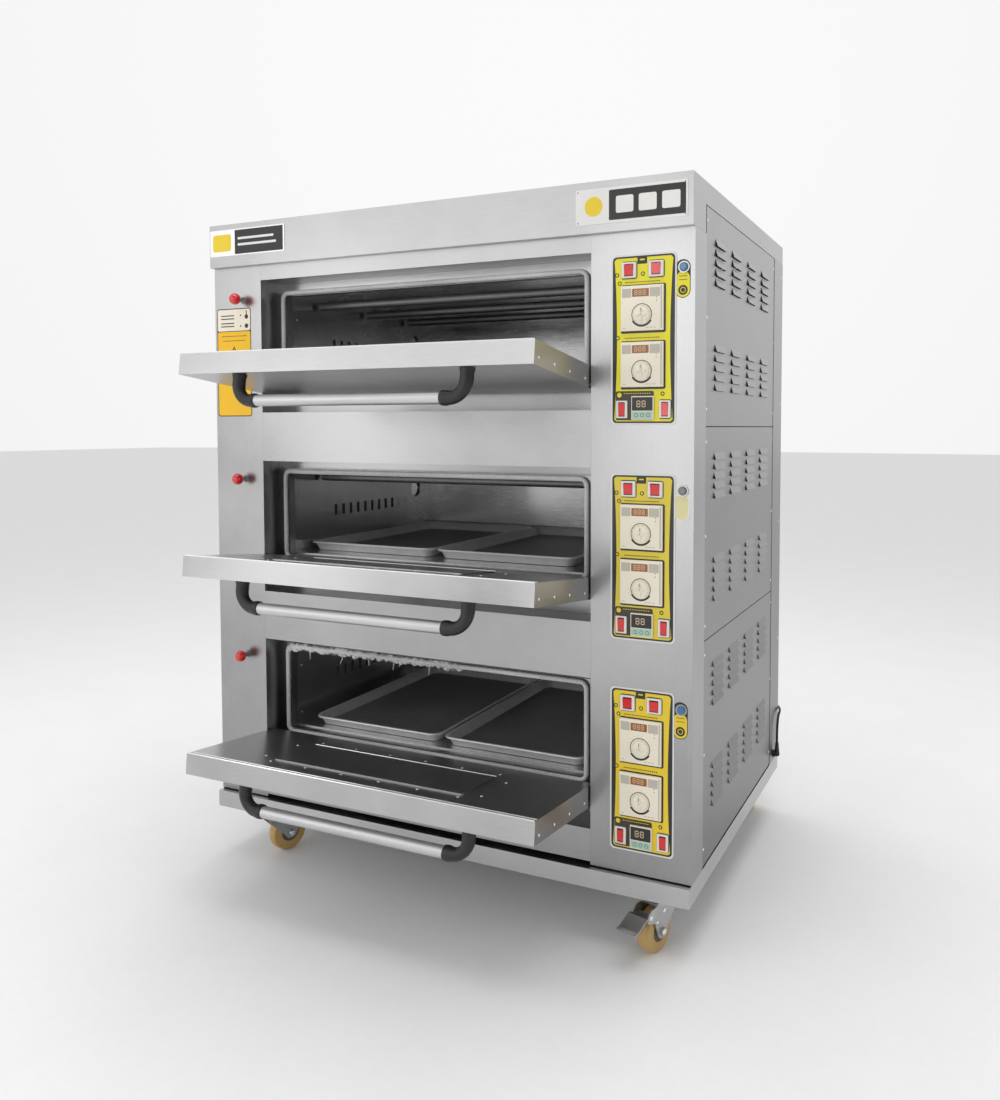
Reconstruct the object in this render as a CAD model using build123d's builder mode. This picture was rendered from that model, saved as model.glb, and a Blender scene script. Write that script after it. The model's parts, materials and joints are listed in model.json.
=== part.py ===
from build123d import *
import math
import os

# Three-deck bakery oven on castors, in millimetres. +Z is up and the doors face -Y.
# The origin is on the floor, under the middle of the oven with its doors open.

# ---- driving dimensions ----
cabinet_width = 1330.0
cabinet_depth = 890.0
cabinet_height = 1560.0
castor_height = 130.0
front_y = -344.0
sheet = 1.5
seam = 0.2

left_column_width = 158.0
right_column_width = 236.0
header_height = 110.0
header_side_wrap = 78.0
header_flange_height = 49.0
overhang = 15.0
plinth_height = 43.0
post_bottom = 46.0
corner_strip = 85.0
rear_strip = 112.0

deck_names = ["lower", "middle", "upper"]
deck_pitch = 470.0
lowest_opening = 128.0
opening_height = 343.0
recess_depth = 80.0

mouth_margin_left = 32.0
mouth_margin_right = 41.0
mouth_bottom = 91.0
mouth_top = 308.0
gasket_width = 14.0
gasket_front = 49.5
collar_front = 62.0
chamber_beyond_mouth = 3.0
chamber_depth = 660.0
chamber_ceiling = 318.0
hearth_top = 94.0
liner_floor = -20.0
liner_wall = 2.0

door_gap = 3.0
door_thickness = 49.0
door_above_hinge = 283.0
door_below_hinge = 36.0
door_lip = 50.0
door_heel_chamfer = 26.0
inner_panel_width = 516.0
inner_panel_height = 150.0
inner_panel_reach = 142.0
hinge_inset = 8.0
hinge_height = 56.0
hinge_pin_radius = 4.0
running_clearance = 0.05
door_tilts = [5.5, 6.5, 7.5]

handle_reach = 257.0
handle_standoff = 60.0
handle_tube_radius = 13.5
handle_tube_half = 262.0
handle_bend_radius = 40.0
handle_bracket_radius = 15.0

tray_width = 400.0
tray_length = 600.0
tray_height = 25.0
tray_wall = 1.2
tray_spots = {
    "lower": {"left": (232.0, 94.0), "right": (640.0, 92.0)},
    "middle": {"left": (190.0, 130.0), "right": (596.0, 130.0)},
}

plate_left = 1142.0
plate_width = 148.0
plate_height = 364.0
plate_thickness = 1.0
plate_bottom_over_opening = -32.0
controller_side = 96.0
controller_body = 90.0
controller_body_depth = 80.0
bezel_thickness = 6.0
controller_heights = [81.0, 201.0]
dial_radius = 21.0
dial_thickness = 8.0
dial_height = 31.0
timer_side = 50.0
timer_body = 44.0

button_x = 1306.0
button_over_opening = 298.0
button_radius = 9.3
damper_x = 95.0
damper_over_opening = 295.0
damper_ball_radius = 14.0
damper_rod_radius = 3.0

wheel_radius = 50.0
wheel_width = 32.0
castor_trail = 38.0
fork_gap = 38.0
fork_plate = 3.0

cord_radius = 3.5
coil_inner_radius = 31.0
coil_outer_radius = 53.0
coil_height = 14.5

# ---- places worked out from them ----
left_x = -cabinet_width / 2
right_x = cabinet_width / 2
rear_y = front_y + cabinet_depth
base_z = castor_height
roof_z = base_z + cabinet_height
header_z = roof_z - header_height
opening_left = left_x + left_column_width
opening_right = right_x - right_column_width
opening_middle = (opening_left + opening_right) / 2
opening_width = opening_right - opening_left
opening_z = [base_z + lowest_opening + deck_pitch * deck for deck in range(3)]
mouth_left = opening_left + mouth_margin_left
mouth_right = opening_right - mouth_margin_right
chamber_left = mouth_left - chamber_beyond_mouth
chamber_right = mouth_right + chamber_beyond_mouth
back_frame_y = front_y + recess_depth + 3.0
chamber_rear_y = back_frame_y + chamber_depth

os.makedirs("parts", exist_ok=True)


def bar(x_span, y_span, z_span, mode=Mode.ADD):
    """A rectangular block between two limits on each axis, in the part being built."""
    middle = [(low + high) / 2 for low, high in (x_span, y_span, z_span)]
    size = [high - low for low, high in (x_span, y_span, z_span)]
    with Locations(tuple(middle)):
        Box(*size, mode=mode)


def rod(start, direction, radius, length, mode=Mode.ADD):
    """A round bar from a start point along a direction, in the part being built."""
    with Locations(Plane(origin=start, z_dir=direction)):
        Cylinder(radius, length, align=(Align.CENTER, Align.CENTER, Align.MIN), mode=mode)


def save(part, name):
    """Labels a finished piece and writes its STEP file."""
    part.label = name
    export_step(part, f"parts/{name}.step")


# ---- base frame: a folded floor pan with a deep front and two cross rails ----
def make_base_frame():
    front = front_y - overhang
    rear = rear_y - sheet
    wall = 3.0
    rail_z = (base_z + 5.0, base_z + plinth_height - wall)
    with BuildPart() as base_frame:
        bar((left_x, right_x), (front, rear), (base_z, base_z + plinth_height))
        bar(
            (left_x + wall, right_x - wall),
            (front + wall, rear - wall),
            (base_z, base_z + plinth_height - wall),
            Mode.SUBTRACT,
        )
        for rail_y in (front_y + 60.0, rear_y - 70.0):
            bar((left_x + wall, right_x - wall), (rail_y - 55.0, rail_y + 55.0), rail_z)
            bar(
                (left_x + 2 * wall, right_x - 2 * wall),
                (rail_y - 52.0, rail_y + 52.0),
                (rail_z[0] + wall, rail_z[1]),
                Mode.SUBTRACT,
            )
    save(base_frame.part, "base_frame")


# ---- top cover: the roof, the deep front fascia and shallow side flanges ----
def make_top_cover():
    front = front_y - overhang
    rear = rear_y - 4.0
    flange_z = roof_z - header_flange_height
    with BuildPart() as top_cover:
        bar((left_x, right_x), (front, rear), (header_z, roof_z))
        bar(
            (left_x + sheet, right_x - sheet),
            (front + sheet, rear - sheet),
            (header_z, roof_z - sheet),
            Mode.SUBTRACT,
        )
        bar(
            (left_x - 1, right_x + 1),
            (front_y + header_side_wrap, rear + 1),
            (header_z - 1, flange_z),
            Mode.SUBTRACT,
        )
        bar((left_x, right_x), (front, front_y - seam), (header_z, header_z + sheet))
    save(top_cover.part, "top_cover")


# ---- left column: front face, return into the door recess and the plain side skin ----
def make_left_column():
    side_top = roof_z - header_flange_height - seam
    front_top = header_z - seam
    bottom = base_z + post_bottom
    side_rear = rear_y - rear_strip - seam
    with BuildPart() as left_column:
        bar((left_x, opening_left), (front_y, front_y + sheet), (bottom, front_top))
        bar(
            (opening_left - sheet, opening_left),
            (front_y + sheet, front_y + recess_depth),
            (bottom, front_top),
        )
        bar((left_x, left_x + sheet), (front_y + sheet, side_rear), (bottom, front_top))
        bar(
            (left_x, left_x + sheet),
            (front_y + header_side_wrap + seam, side_rear),
            (front_top, side_top),
        )
        bar(
            (left_x, left_x + sheet),
            (front_y + 2.0, side_rear),
            (base_z + plinth_height + seam, bottom),
        )
        for opening in opening_z:
            centre = (left_x + damper_x, front_y - 5.0, opening + damper_over_opening)
            rod(centre, (0, 1, 0), 4.3, 10.0, Mode.SUBTRACT)
        # rolled bushes that guide the damper rods
        for opening in opening_z:
            centre = (left_x + damper_x, front_y - 4.0, opening + damper_over_opening)
            rod(centre, (0, 1, 0), 9.5, 4.0 - seam)
            rod(centre, (0, 1, 0), damper_rod_radius + 0.3, 4.0, Mode.SUBTRACT)
    save(left_column.part, "left_column")


# ---- control column: front face, corner strip and return into the door recess ----
def make_control_column():
    bottom = base_z + post_bottom
    top = header_z - seam
    with BuildPart() as control_column:
        bar((opening_right, right_x), (front_y, front_y + sheet), (bottom, top))
        bar(
            (opening_right, opening_right + sheet),
            (front_y + sheet, front_y + recess_depth),
            (bottom, top),
        )
        bar((right_x - sheet, right_x), (front_y + sheet, front_y + corner_strip), (bottom, top))
        bar(
            (right_x - sheet, right_x),
            (front_y + 2.0, front_y + corner_strip),
            (base_z + plinth_height + seam, bottom),
        )
        for opening in opening_z:
            low = opening + plate_bottom_over_opening
            bar(
                (left_x + plate_left + 10.0, left_x + plate_left + plate_width - 10.0),
                (front_y - 1.0, front_y + 3.0),
                (low + 10.0, low + plate_height - 10.0),
                Mode.SUBTRACT,
            )
            centre = (left_x + button_x, front_y - 5.0, opening + button_over_opening)
            rod(centre, (0, 1, 0), button_radius + 0.4, 10.0, Mode.SUBTRACT)
        # chrome rings round the push buttons
        for opening in opening_z:
            centre = (left_x + button_x, front_y - 3.2, opening + button_over_opening)
            rod(centre, (0, 1, 0), 12.5, 3.0)
            rod(centre, (0, 1, 0), button_radius + 0.4, 3.0, Mode.SUBTRACT)
    save(control_column.part, "control_column")


# ---- right side: three louvred service panels ----
louvre_length = 87.0
louvre_slot = 5.0
louvre_hood = 5.0
louvre_rise = 17.0
louvre_pitch = 22.0
louvre_columns = [158.0, 305.0, 460.0, 614.0]
louvre_groups = [75.0, 310.0]
louvre_rows = 5
panel_seams = [46.0, 557.0, 1032.0, 1511.0]


def louvre_heights():
    """The lower edge of every row of louvres on the three panels."""
    for top in panel_seams[1:]:
        for group in louvre_groups:
            for row in range(louvre_rows):
                yield base_z + top - group - louvre_pitch * row


def make_louvre_panels():
    outer_x = right_x - 1.0
    y_span = (front_y + corner_strip + 1.0, rear_y - rear_strip - 1.0)
    with BuildPart() as louvre_panels:
        for low, high in zip(panel_seams, panel_seams[1:]):
            bar((outer_x - 1.2, outer_x), y_span, (base_z + low + 1.0, base_z + high - 1.0))
        # pressed hoods, open at their lower edges
        for column in louvre_columns:
            start = Plane(origin=(outer_x, front_y + column, 0), x_dir=(1, 0, 0), z_dir=(0, -1, 0))
            with BuildSketch(start):
                for low in louvre_heights():
                    with BuildLine():
                        Polyline(
                            (-0.2, low + louvre_rise),
                            (louvre_hood, low + 1.0),
                            (louvre_hood, low),
                            (louvre_hood - 1.2, low),
                            (-0.2, low + louvre_rise - 2.0),
                            close=True,
                        )
                    make_face()
            extrude(amount=-louvre_length)
        slot_centres = [
            (front_y + column + louvre_length / 2, low + louvre_slot / 2)
            for column in louvre_columns
            for low in louvre_heights()
        ]
        inside = Plane(origin=(right_x - 4.0, 0, 0), x_dir=(0, 1, 0), z_dir=(1, 0, 0))
        with BuildSketch(inside):
            with Locations(*slot_centres):
                Rectangle(louvre_length - 2.0, louvre_slot)
        extrude(amount=3.1, mode=Mode.SUBTRACT)
    save(louvre_panels.part, "louvre_panels")


# ---- rear panel: wraps round both rear corners, with the flue spigot and the gas inlet hole ----
flue_spot = (left_x + 116.0, roof_z - 150.0)
flue_radius = 40.0
flue_reach = 30.0
gas_spot = (right_x - 130.0, base_z + 330.0)
gland_spot = (rear_y - 62.0, base_z + 62.0)
gland_hole_radius = 8.2
hook_spot = (right_x - 18.0, base_z + 174.5)
hook_reach = 70.0


def make_rear_panel():
    z_span = (base_z + plinth_height + seam, roof_z - header_flange_height - seam)
    wrap_y = (rear_y - rear_strip, rear_y - sheet)
    with BuildPart() as rear_panel:
        bar((left_x, right_x), (rear_y - sheet, rear_y), z_span)
        bar((left_x, left_x + sheet), wrap_y, z_span)
        bar((right_x - sheet, right_x), wrap_y, z_span)
        rod((flue_spot[0], rear_y, flue_spot[1]), (0, 1, 0), flue_radius, flue_reach)
        rod((flue_spot[0], rear_y - 5, flue_spot[1]), (0, 1, 0), flue_radius - 1.5, 50, Mode.SUBTRACT)
        rod((gas_spot[0], rear_y - 5, gas_spot[1]), (0, 1, 0), 16.0, 10, Mode.SUBTRACT)
        gland_hole = (right_x - 5.0, *gland_spot)
        rod(gland_hole, (1, 0, 0), gland_hole_radius, 10.0, Mode.SUBTRACT)
        # hook that carries the lead
        hook_root = (hook_spot[0], rear_y - sheet, hook_spot[1])
        hook_tip = (hook_spot[0], rear_y + hook_reach, hook_spot[1] - 3.0)
        rod(hook_root, (0, 1, 0), 3.0, hook_reach + sheet + 3.0)
        rod(hook_tip, (0, 0, 1), 3.0, 24.0)
    save(rear_panel.part, "rear_panel")


# ---- front frames: sill panels, recess frames with their collars, and the hinge pins ----
def sill_panel(low, high):
    """A channel-shaped front panel between two heights, folded back above and below."""
    x_span = (opening_left + seam, opening_right - seam)
    bar(x_span, (front_y, front_y + recess_depth - seam), (low + seam, high - seam))
    bar(
        x_span,
        (front_y + sheet, front_y + recess_depth + 1),
        (low + seam + sheet, high - seam - sheet),
        Mode.SUBTRACT,
    )


def recess_frame(opening):
    """The frame at the back of one door recess, and the collar round the chamber's mouth."""
    frame_y = (front_y + recess_depth, back_frame_y)
    collar_y = (front_y + collar_front, front_y + recess_depth - seam)
    low = opening + mouth_bottom
    high = opening + mouth_top
    outer_low = low - gasket_width
    outer_high = high + gasket_width
    outer_left = mouth_left - gasket_width
    outer_right = mouth_right + gasket_width
    bar((opening_left, opening_right), frame_y, (opening, low))
    bar((opening_left, opening_right), frame_y, (high, opening + opening_height))
    bar((opening_left, mouth_left), frame_y, (low + seam, high - seam))
    bar((mouth_right, opening_right), frame_y, (low + seam, high - seam))
    bar((outer_left, outer_right), collar_y, (outer_low, low))
    bar((outer_left, outer_right), collar_y, (high, outer_high))
    bar((outer_left, mouth_left), collar_y, (low + seam, high - seam))
    bar((mouth_right, outer_right), collar_y, (low + seam, high - seam))


def make_front_frames():
    with BuildPart() as front_frames:
        sill_panel(base_z + post_bottom + 7.0, opening_z[0])
        sill_panel(opening_z[0] + opening_height, opening_z[1])
        sill_panel(opening_z[1] + opening_height, opening_z[2])
        sill_panel(opening_z[2] + opening_height, header_z)
        for opening in opening_z:
            recess_frame(opening)
            pin_y = front_y + hinge_inset
            pin_z = opening + hinge_height
            rod((opening_left + seam, pin_y, pin_z), (1, 0, 0), hinge_pin_radius, 16.0)
            rod((opening_right - seam, pin_y, pin_z), (-1, 0, 0), hinge_pin_radius, 16.0)
    save(front_frames.part, "front_frames")


# ---- chamber liners: folded walls and the hearth plate of each baking chamber ----
slot_count = 11
slot_pitch = 34.0
slot_width = 12.0
first_slot = 250.0
slot_heights = (180.0, 210.0)
port_radius = 26.0
port_depth = 660.0
port_height = 232.0
tube_rows = [190.0, 400.0, 610.0]
upper_tube_height = 294.0
lower_tube_height = 35.0
tube_radius = 11.0


def flue_duct():
    """The box that gathers the chamber ports beside the liners and ends at the rear spigot."""
    x_span = (chamber_left - 112.0, chamber_left - liner_wall - 1.0)
    y_span = (front_y + 560.0, front_y + 700.0)
    z_span = (opening_z[0] + 190.0, roof_z - 80.0)
    wall = 1.2
    with BuildPart() as duct:
        bar(x_span, y_span, z_span)
        inner = [(low + wall, high - wall) for low, high in (x_span, y_span, z_span)]
        bar(*inner, Mode.SUBTRACT)
        spigot = (flue_spot[0], y_span[1] - wall, flue_spot[1])
        rod(spigot, (0, 1, 0), flue_radius - 2.0, rear_y - y_span[1] + wall - 1.0)
        rod(spigot, (0, 1, 0), flue_radius - 3.5, rear_y - y_span[1] + 20.0, Mode.SUBTRACT)
        rod((spigot[0], spigot[1] - 5.0, spigot[2]), (0, 1, 0), flue_radius - 3.5, 10, Mode.SUBTRACT)
        for opening in opening_z:
            port = (x_span[1] - 5.0, front_y + port_depth, opening + port_height)
            rod(port, (1, 0, 0), port_radius, 10.0, Mode.SUBTRACT)
            hole = (left_x + damper_x, y_span[0] - 5.0, opening + damper_over_opening)
            rod(hole, (0, 1, 0), damper_rod_radius + 0.5, 10.0, Mode.SUBTRACT)
    return duct.part


def make_chamber_liners():
    duct = flue_duct()
    depth = (back_frame_y + seam, chamber_rear_y)
    with BuildPart() as chamber_liners:
        add(duct)
        for opening in opening_z:
            low = opening + liner_floor
            high = opening + chamber_ceiling
            wall_z = (low + seam, high - seam)
            left_wall = (chamber_left - liner_wall, chamber_left)
            right_wall = (chamber_right, chamber_right + liner_wall)
            bar(left_wall, depth, wall_z)
            bar(right_wall, depth, wall_z)
            bar((left_wall[0], right_wall[1]), depth, (low - liner_wall, low))
            bar((left_wall[0], right_wall[1]), depth, (high, high + liner_wall))
            bar(
                (left_wall[0], right_wall[1]),
                (chamber_rear_y + seam, chamber_rear_y + seam + liner_wall),
                (low - liner_wall, high + liner_wall),
            )
            bar(
                (chamber_left + seam, chamber_right - seam),
                (back_frame_y + seam, chamber_rear_y - seam),
                (opening + hearth_top - 3.0, opening + hearth_top),
            )
            for slot in range(slot_count):
                slot_y = front_y + first_slot + slot_pitch * slot
                bar(
                    (left_wall[0] - 1, left_wall[1] + 1),
                    (slot_y, slot_y + slot_width),
                    (opening + slot_heights[0], opening + slot_heights[1]),
                    Mode.SUBTRACT,
                )
            port = (left_wall[0] - 1, front_y + port_depth, opening + port_height)
            rod(port, (1, 0, 0), port_radius, liner_wall + 2, Mode.SUBTRACT)
            for tube_y in tube_rows:
                for height in (upper_tube_height, lower_tube_height):
                    hole = (right_wall[0] - 1, front_y + tube_y, opening + height)
                    rod(hole, (1, 0, 0), tube_radius + 0.3, liner_wall + 2, Mode.SUBTRACT)
    save(chamber_liners.part, "chamber_liners")


# ---- rope gaskets round the chamber mouths ----
def make_door_gaskets():
    width = mouth_right - mouth_left
    height = mouth_top - mouth_bottom
    with BuildPart() as door_gaskets:
        for opening in opening_z:
            middle_z = opening + (mouth_bottom + mouth_top) / 2
            face = Plane(
                origin=((mouth_left + mouth_right) / 2, front_y + collar_front - seam, middle_z),
                x_dir=(1, 0, 0),
                z_dir=(0, -1, 0),
            )
            with BuildSketch(face):
                RectangleRounded(width + 2 * gasket_width, height + 2 * gasket_width, 24.0)
                RectangleRounded(width, height, 10.0, mode=Mode.SUBTRACT)
            extrude(amount=collar_front - seam - gasket_front)
    save(door_gaskets.part, "door_gaskets")


# ---- gas train: burner tubes, a feed rail for each deck, valves and the riser ----
def make_gas_burners():
    rail_x = (chamber_right + 6.0, chamber_right + 36.0)
    riser_x = gas_spot[0]
    riser_y = rear_y - 60.0
    riser_low = gas_spot[1]
    riser_high = opening_z[2] + upper_tube_height + 20.0
    with BuildPart() as gas_burners:
        for opening in opening_z:
            for height in (upper_tube_height, lower_tube_height):
                centre_z = opening + height
                for tube_y in tube_rows:
                    start = (chamber_left + 12.0, front_y + tube_y, centre_z)
                    length = rail_x[0] - start[0] + 1.0
                    rod(start, (1, 0, 0), tube_radius, length)
                bar(rail_x, (front_y + 160.0, front_y + 650.0), (centre_z - 14, centre_z + 14))
                bar(
                    (rail_x[1] - 1.0, riser_x + 20.0),
                    (front_y + 620.0, front_y + 645.0),
                    (centre_z - 10, centre_z + 10),
                )
                bar(
                    (riser_x - 40.0, riser_x + 20.0),
                    (front_y + 610.0, front_y + 680.0),
                    (centre_z - 30, centre_z + 30),
                )
                rod((riser_x, front_y + 670.0, centre_z), (0, 1, 0), 8.0, riser_y - front_y - 670.0)
        rod((riser_x, riser_y, opening_z[0] + 5.0), (0, 0, 1), 13.5, riser_high - opening_z[0])
        rod((riser_x, riser_y, riser_low), (0, 1, 0), 13.5, 60.0 + 14.0)
        rod((riser_x, rear_y + 15.0 - 30.0, riser_low), (0, 1, 0), 9.0, 40.0, Mode.SUBTRACT)
    save(gas_burners.part, "gas_burners")


# ---- insulation boards round the chambers ----
def make_insulation():
    with BuildPart() as insulation:
        for deck, opening in enumerate(opening_z):
            top_limit = opening_z[deck + 1] + liner_floor - 10 if deck < 2 else roof_z - 70
            low = opening + chamber_ceiling + 5.0
            high = min(low + 60.0, top_limit)
            bar(
                (chamber_left, chamber_right),
                (back_frame_y + 5.0, chamber_rear_y),
                (low, high),
            )
            bar(
                (chamber_left, chamber_right),
                (chamber_rear_y + 6.0, chamber_rear_y + 56.0),
                (opening + liner_floor, opening + chamber_ceiling),
            )
            bar(
                (chamber_left - 52.0, chamber_left - 5.0),
                (back_frame_y + 5.0, front_y + 550.0),
                (opening + liner_floor, opening + chamber_ceiling),
            )
    save(insulation.part, "insulation")


# ---- control plates: one printed front plate for each deck ----
top_rocker_x = [41.5, 103.0]
top_rocker_z = 331.0
low_rocker_x = [26.0, 124.0]
low_rocker_z = 33.0
timer_x = 74.5
timer_z = 36.0
controller_x = 72.5
top_rocker = {"frame": (33.0, 33.0), "cap": (20.0, 22.0)}
low_rocker = {"frame": (25.0, 37.0), "cap": (14.0, 27.0)}


def rocker_spots():
    """Each rocker's name, offset on the plate and size."""
    yield "top_left", top_rocker_x[0], top_rocker_z, top_rocker
    yield "top_right", top_rocker_x[1], top_rocker_z, top_rocker
    yield "low_left", low_rocker_x[0], low_rocker_z, low_rocker
    yield "low_right", low_rocker_x[1], low_rocker_z, low_rocker


def plate_point(opening, offset_x, offset_z):
    """A point on a control plate, from the plate's lower left corner."""
    return left_x + plate_left + offset_x, opening + plate_bottom_over_opening + offset_z


def make_control_plates():
    with BuildPart() as control_plates:
        for opening in opening_z:
            x, z = plate_point(opening, plate_width / 2, plate_height / 2)
            face = Plane(origin=(x, front_y - seam, z), x_dir=(1, 0, 0), z_dir=(0, -1, 0))
            with BuildSketch(face):
                RectangleRounded(plate_width, plate_height, 10.0)
            extrude(amount=plate_thickness)
            cut_y = (front_y - 5.0, front_y + 5.0)
            for height in controller_heights:
                x, z = plate_point(opening, controller_x, height + controller_side / 2)
                half = controller_body / 2 + 1.0
                bar((x - half, x + half), cut_y, (z - half, z + half), Mode.SUBTRACT)
            x, z = plate_point(opening, timer_x, timer_z)
            half = timer_body / 2 + 0.5
            bar((x - half, x + half), cut_y, (z - half, z + half), Mode.SUBTRACT)
            for _, offset_x, offset_z, size in rocker_spots():
                x, z = plate_point(opening, offset_x, offset_z)
                half_x = size["frame"][0] / 2 - 2.5
                half_z = size["frame"][1] / 2 - 1.5
                bar((x - half_x, x + half_x), cut_y, (z - half_z, z + half_z), Mode.SUBTRACT)
    save(control_plates.part, "control_plates")


# ---- panel instruments: controllers, timers and the rocker switch housings ----
instrument_y = front_y - seam - plate_thickness - seam
rocker_depth = 24.0
rocker_pivot_y = instrument_y + 2.0
rocker_pivot_radius = 2.0


def make_panel_instruments():
    body_y = (instrument_y, instrument_y + controller_body_depth)
    bezel_y = (instrument_y - bezel_thickness, instrument_y)
    with BuildPart() as panel_instruments:
        for opening in opening_z:
            for height in controller_heights:
                x, z = plate_point(opening, controller_x, height + controller_side / 2)
                half = controller_side / 2
                bar((x - half, x + half), bezel_y, (z - half, z + half))
                half = controller_body / 2
                bar((x - half, x + half), body_y, (z - half, z + half))
                dial = (x, bezel_y[0] - 1.0, z - half + dial_height)
                rod(dial, (0, 1, 0), 3.08, 12.0, Mode.SUBTRACT)
            x, z = plate_point(opening, timer_x, timer_z)
            half = timer_side / 2
            bar((x - half, x + half), bezel_y, (z - half, z + half))
            half = timer_body / 2
            bar((x - half, x + half), body_y, (z - half, z + half))
            for _, offset_x, offset_z, size in rocker_spots():
                x, z = plate_point(opening, offset_x, offset_z)
                rocker_housing(x, z, size)
    save(panel_instruments.part, "panel_instruments")


def rocker_housing(x, z, size):
    """A rocker switch's frame and body, with the pocket that its cap turns in."""
    half_x, half_z = size["frame"][0] / 2, size["frame"][1] / 2
    cap_x, cap_z = size["cap"][0] / 2, size["cap"][1] / 2
    bar((x - half_x, x + half_x), (instrument_y - 4.0, instrument_y), (z - half_z, z + half_z))
    bar(
        (x - half_x + 3.0, x + half_x - 3.0),
        (instrument_y, instrument_y + rocker_depth),
        (z - half_z + 2.0, z + half_z - 2.0),
    )
    bar(
        (x - cap_x - 0.5, x + cap_x + 0.5),
        (instrument_y - 5.0, instrument_y + 14.0),
        (z - cap_z - 2.3, z + cap_z + 2.3),
        Mode.SUBTRACT,
    )
    pivot = (x - cap_x - 2.0, rocker_pivot_y, z)
    rod(pivot, (1, 0, 0), rocker_pivot_radius + running_clearance, 2 * cap_x + 4.0, Mode.SUBTRACT)


def make_rocker(name, x, z, size):
    """A rocker cap with its two pivot stubs. Its upper half stands out at rest."""
    cap_x, cap_z = size["cap"][0] / 2, size["cap"][1] / 2
    side = Plane(origin=(x - cap_x, rocker_pivot_y, z), x_dir=(0, 1, 0), z_dir=(1, 0, 0))
    with BuildPart() as rocker:
        with BuildSketch(side):
            with BuildLine():
                Polyline(
                    (-9.5, cap_z),
                    (-7.0, 0.0),
                    (-5.2, -cap_z),
                    (-1.0, 1.5 - cap_z),
                    (5.0, -4.0),
                    (5.0, 4.0),
                    (-1.0, cap_z - 1.5),
                    close=True,
                )
            make_face()
        extrude(amount=2 * cap_x)
        stub = (x - cap_x - 1.5, rocker_pivot_y, z)
        rod(stub, (1, 0, 0), rocker_pivot_radius, 2 * cap_x + 3.0)
    save(rocker.part, name)


def make_dial(name, x, z):
    """A temperature dial: a skirted knob with a raised grip bar and a short shaft."""
    back = instrument_y - bezel_thickness - 0.3
    with BuildPart() as dial:
        rod((x, back, z), (0, -1, 0), dial_radius, 2.5)
        rod((x, back, z), (0, -1, 0), 14.0, dial_thickness)
        bar((x - 3.0, x + 3.0), (back - 2.6, back), (z - 14.0, z + dial_radius - 1.5))
        rod((x, back, z), (0, 1, 0), 3.0, 9.0)
        chamfer(dial.edges().filter_by(GeomType.CIRCLE).group_by(Axis.Y)[0], 1.0)
    save(dial.part, name)


def make_button(name, opening):
    """A push button: a domed cap on a plunger."""
    z = opening + button_over_opening
    with BuildPart() as button:
        rod((left_x + button_x, front_y - 7.5, z), (0, 1, 0), button_radius, 20.0)
        fillet(button.edges().group_by(Axis.Y)[0], 3.0)
    save(button.part, name)


def make_damper(name, opening):
    """A damper pull: ball knob, rod and the gate plate that covers the flue port."""
    x, z = left_x + damper_x, opening + damper_over_opening
    gate_x = chamber_left - liner_wall - 1.0 - 1.2 - 2.5
    gate_y = front_y + port_depth
    rod_end = gate_y - 20.0
    with BuildPart() as damper:
        with Locations((x, front_y - 26.0, z)):
            Sphere(damper_ball_radius)
        rod((x, front_y - 26.0, z), (0, 1, 0), 6.0, 20.0)
        rod((x, front_y - 26.0, z), (0, 1, 0), damper_rod_radius, rod_end - front_y + 26.0)
        port_z = opening + port_height
        bar((gate_x - 2.0, gate_x), (gate_y - 31, gate_y + 31), (port_z - 31, z + 2.5))
        bar((x - 2.0, gate_x - 1.0), (rod_end - 8, rod_end), (z - 2.5, z + 2.5))
    save(damper.part, name)


# ---- doors, each made in its open position on a plane through its hinge axis ----
def hinge_plane(deck, x):
    """x along the oven, y from the hinge to the door's free edge, z out of its outer face."""
    tilt = math.radians(door_tilts[deck])
    return Plane(
        origin=(x, front_y + hinge_inset, opening_z[deck] + hinge_height),
        x_dir=(1, 0, 0),
        z_dir=(0, -math.sin(tilt), -math.cos(tilt)),
    )


def side_plane(deck, x):
    """The plane across the door's width: x to the free edge, y out of its outer face."""
    along = hinge_plane(deck, x)
    return Plane(origin=along.origin, x_dir=along.y_dir, z_dir=along.x_dir)


def door_outline(inset):
    """The door box's side outline, drawn a distance inside its outer faces."""
    outer = hinge_inset - inset
    inner = hinge_inset - door_thickness + inset
    low = -door_below_hinge + inset
    high = door_above_hinge - inset
    cut = door_heel_chamfer
    Polyline(
        (high, outer),
        (low, outer),
        (low, inner + cut),
        (low + cut, inner),
        (high, inner),
        close=True,
    )


def make_door(deck):
    half = opening_width / 2 - door_gap
    start = opening_middle - half
    with BuildPart() as door:
        with BuildSketch(side_plane(deck, start)):
            with BuildLine():
                door_outline(0.0)
            make_face()
        extrude(amount=2 * half)
        # the outer skin runs on below the box as a lip
        with BuildSketch(side_plane(deck, start)):
            with Locations((-door_lip, hinge_inset - sheet)):
                Rectangle(door_lip, sheet, align=(Align.MIN, Align.MIN))
        extrude(amount=2 * half)
        with BuildSketch(side_plane(deck, start + sheet)):
            with BuildLine():
                door_outline(sheet)
            make_face()
        extrude(amount=2 * half - 2 * sheet, mode=Mode.SUBTRACT)
        pin_hole = side_plane(deck, start - 1.0)
        with BuildSketch(pin_hole):
            Circle(hinge_pin_radius + running_clearance)
        extrude(amount=2 * half + 2.0, mode=Mode.SUBTRACT)
        # raised inner panel, riveted to the box
        inner_face = hinge_plane(deck, opening_middle).offset(hinge_inset - door_thickness - seam)
        with BuildSketch(inner_face):
            with Locations((0, inner_panel_reach)):
                RectangleRounded(inner_panel_width, inner_panel_height, 6.0)
        extrude(amount=-2.5)
    save(door.part, f"door_{deck_names[deck]}")


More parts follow.
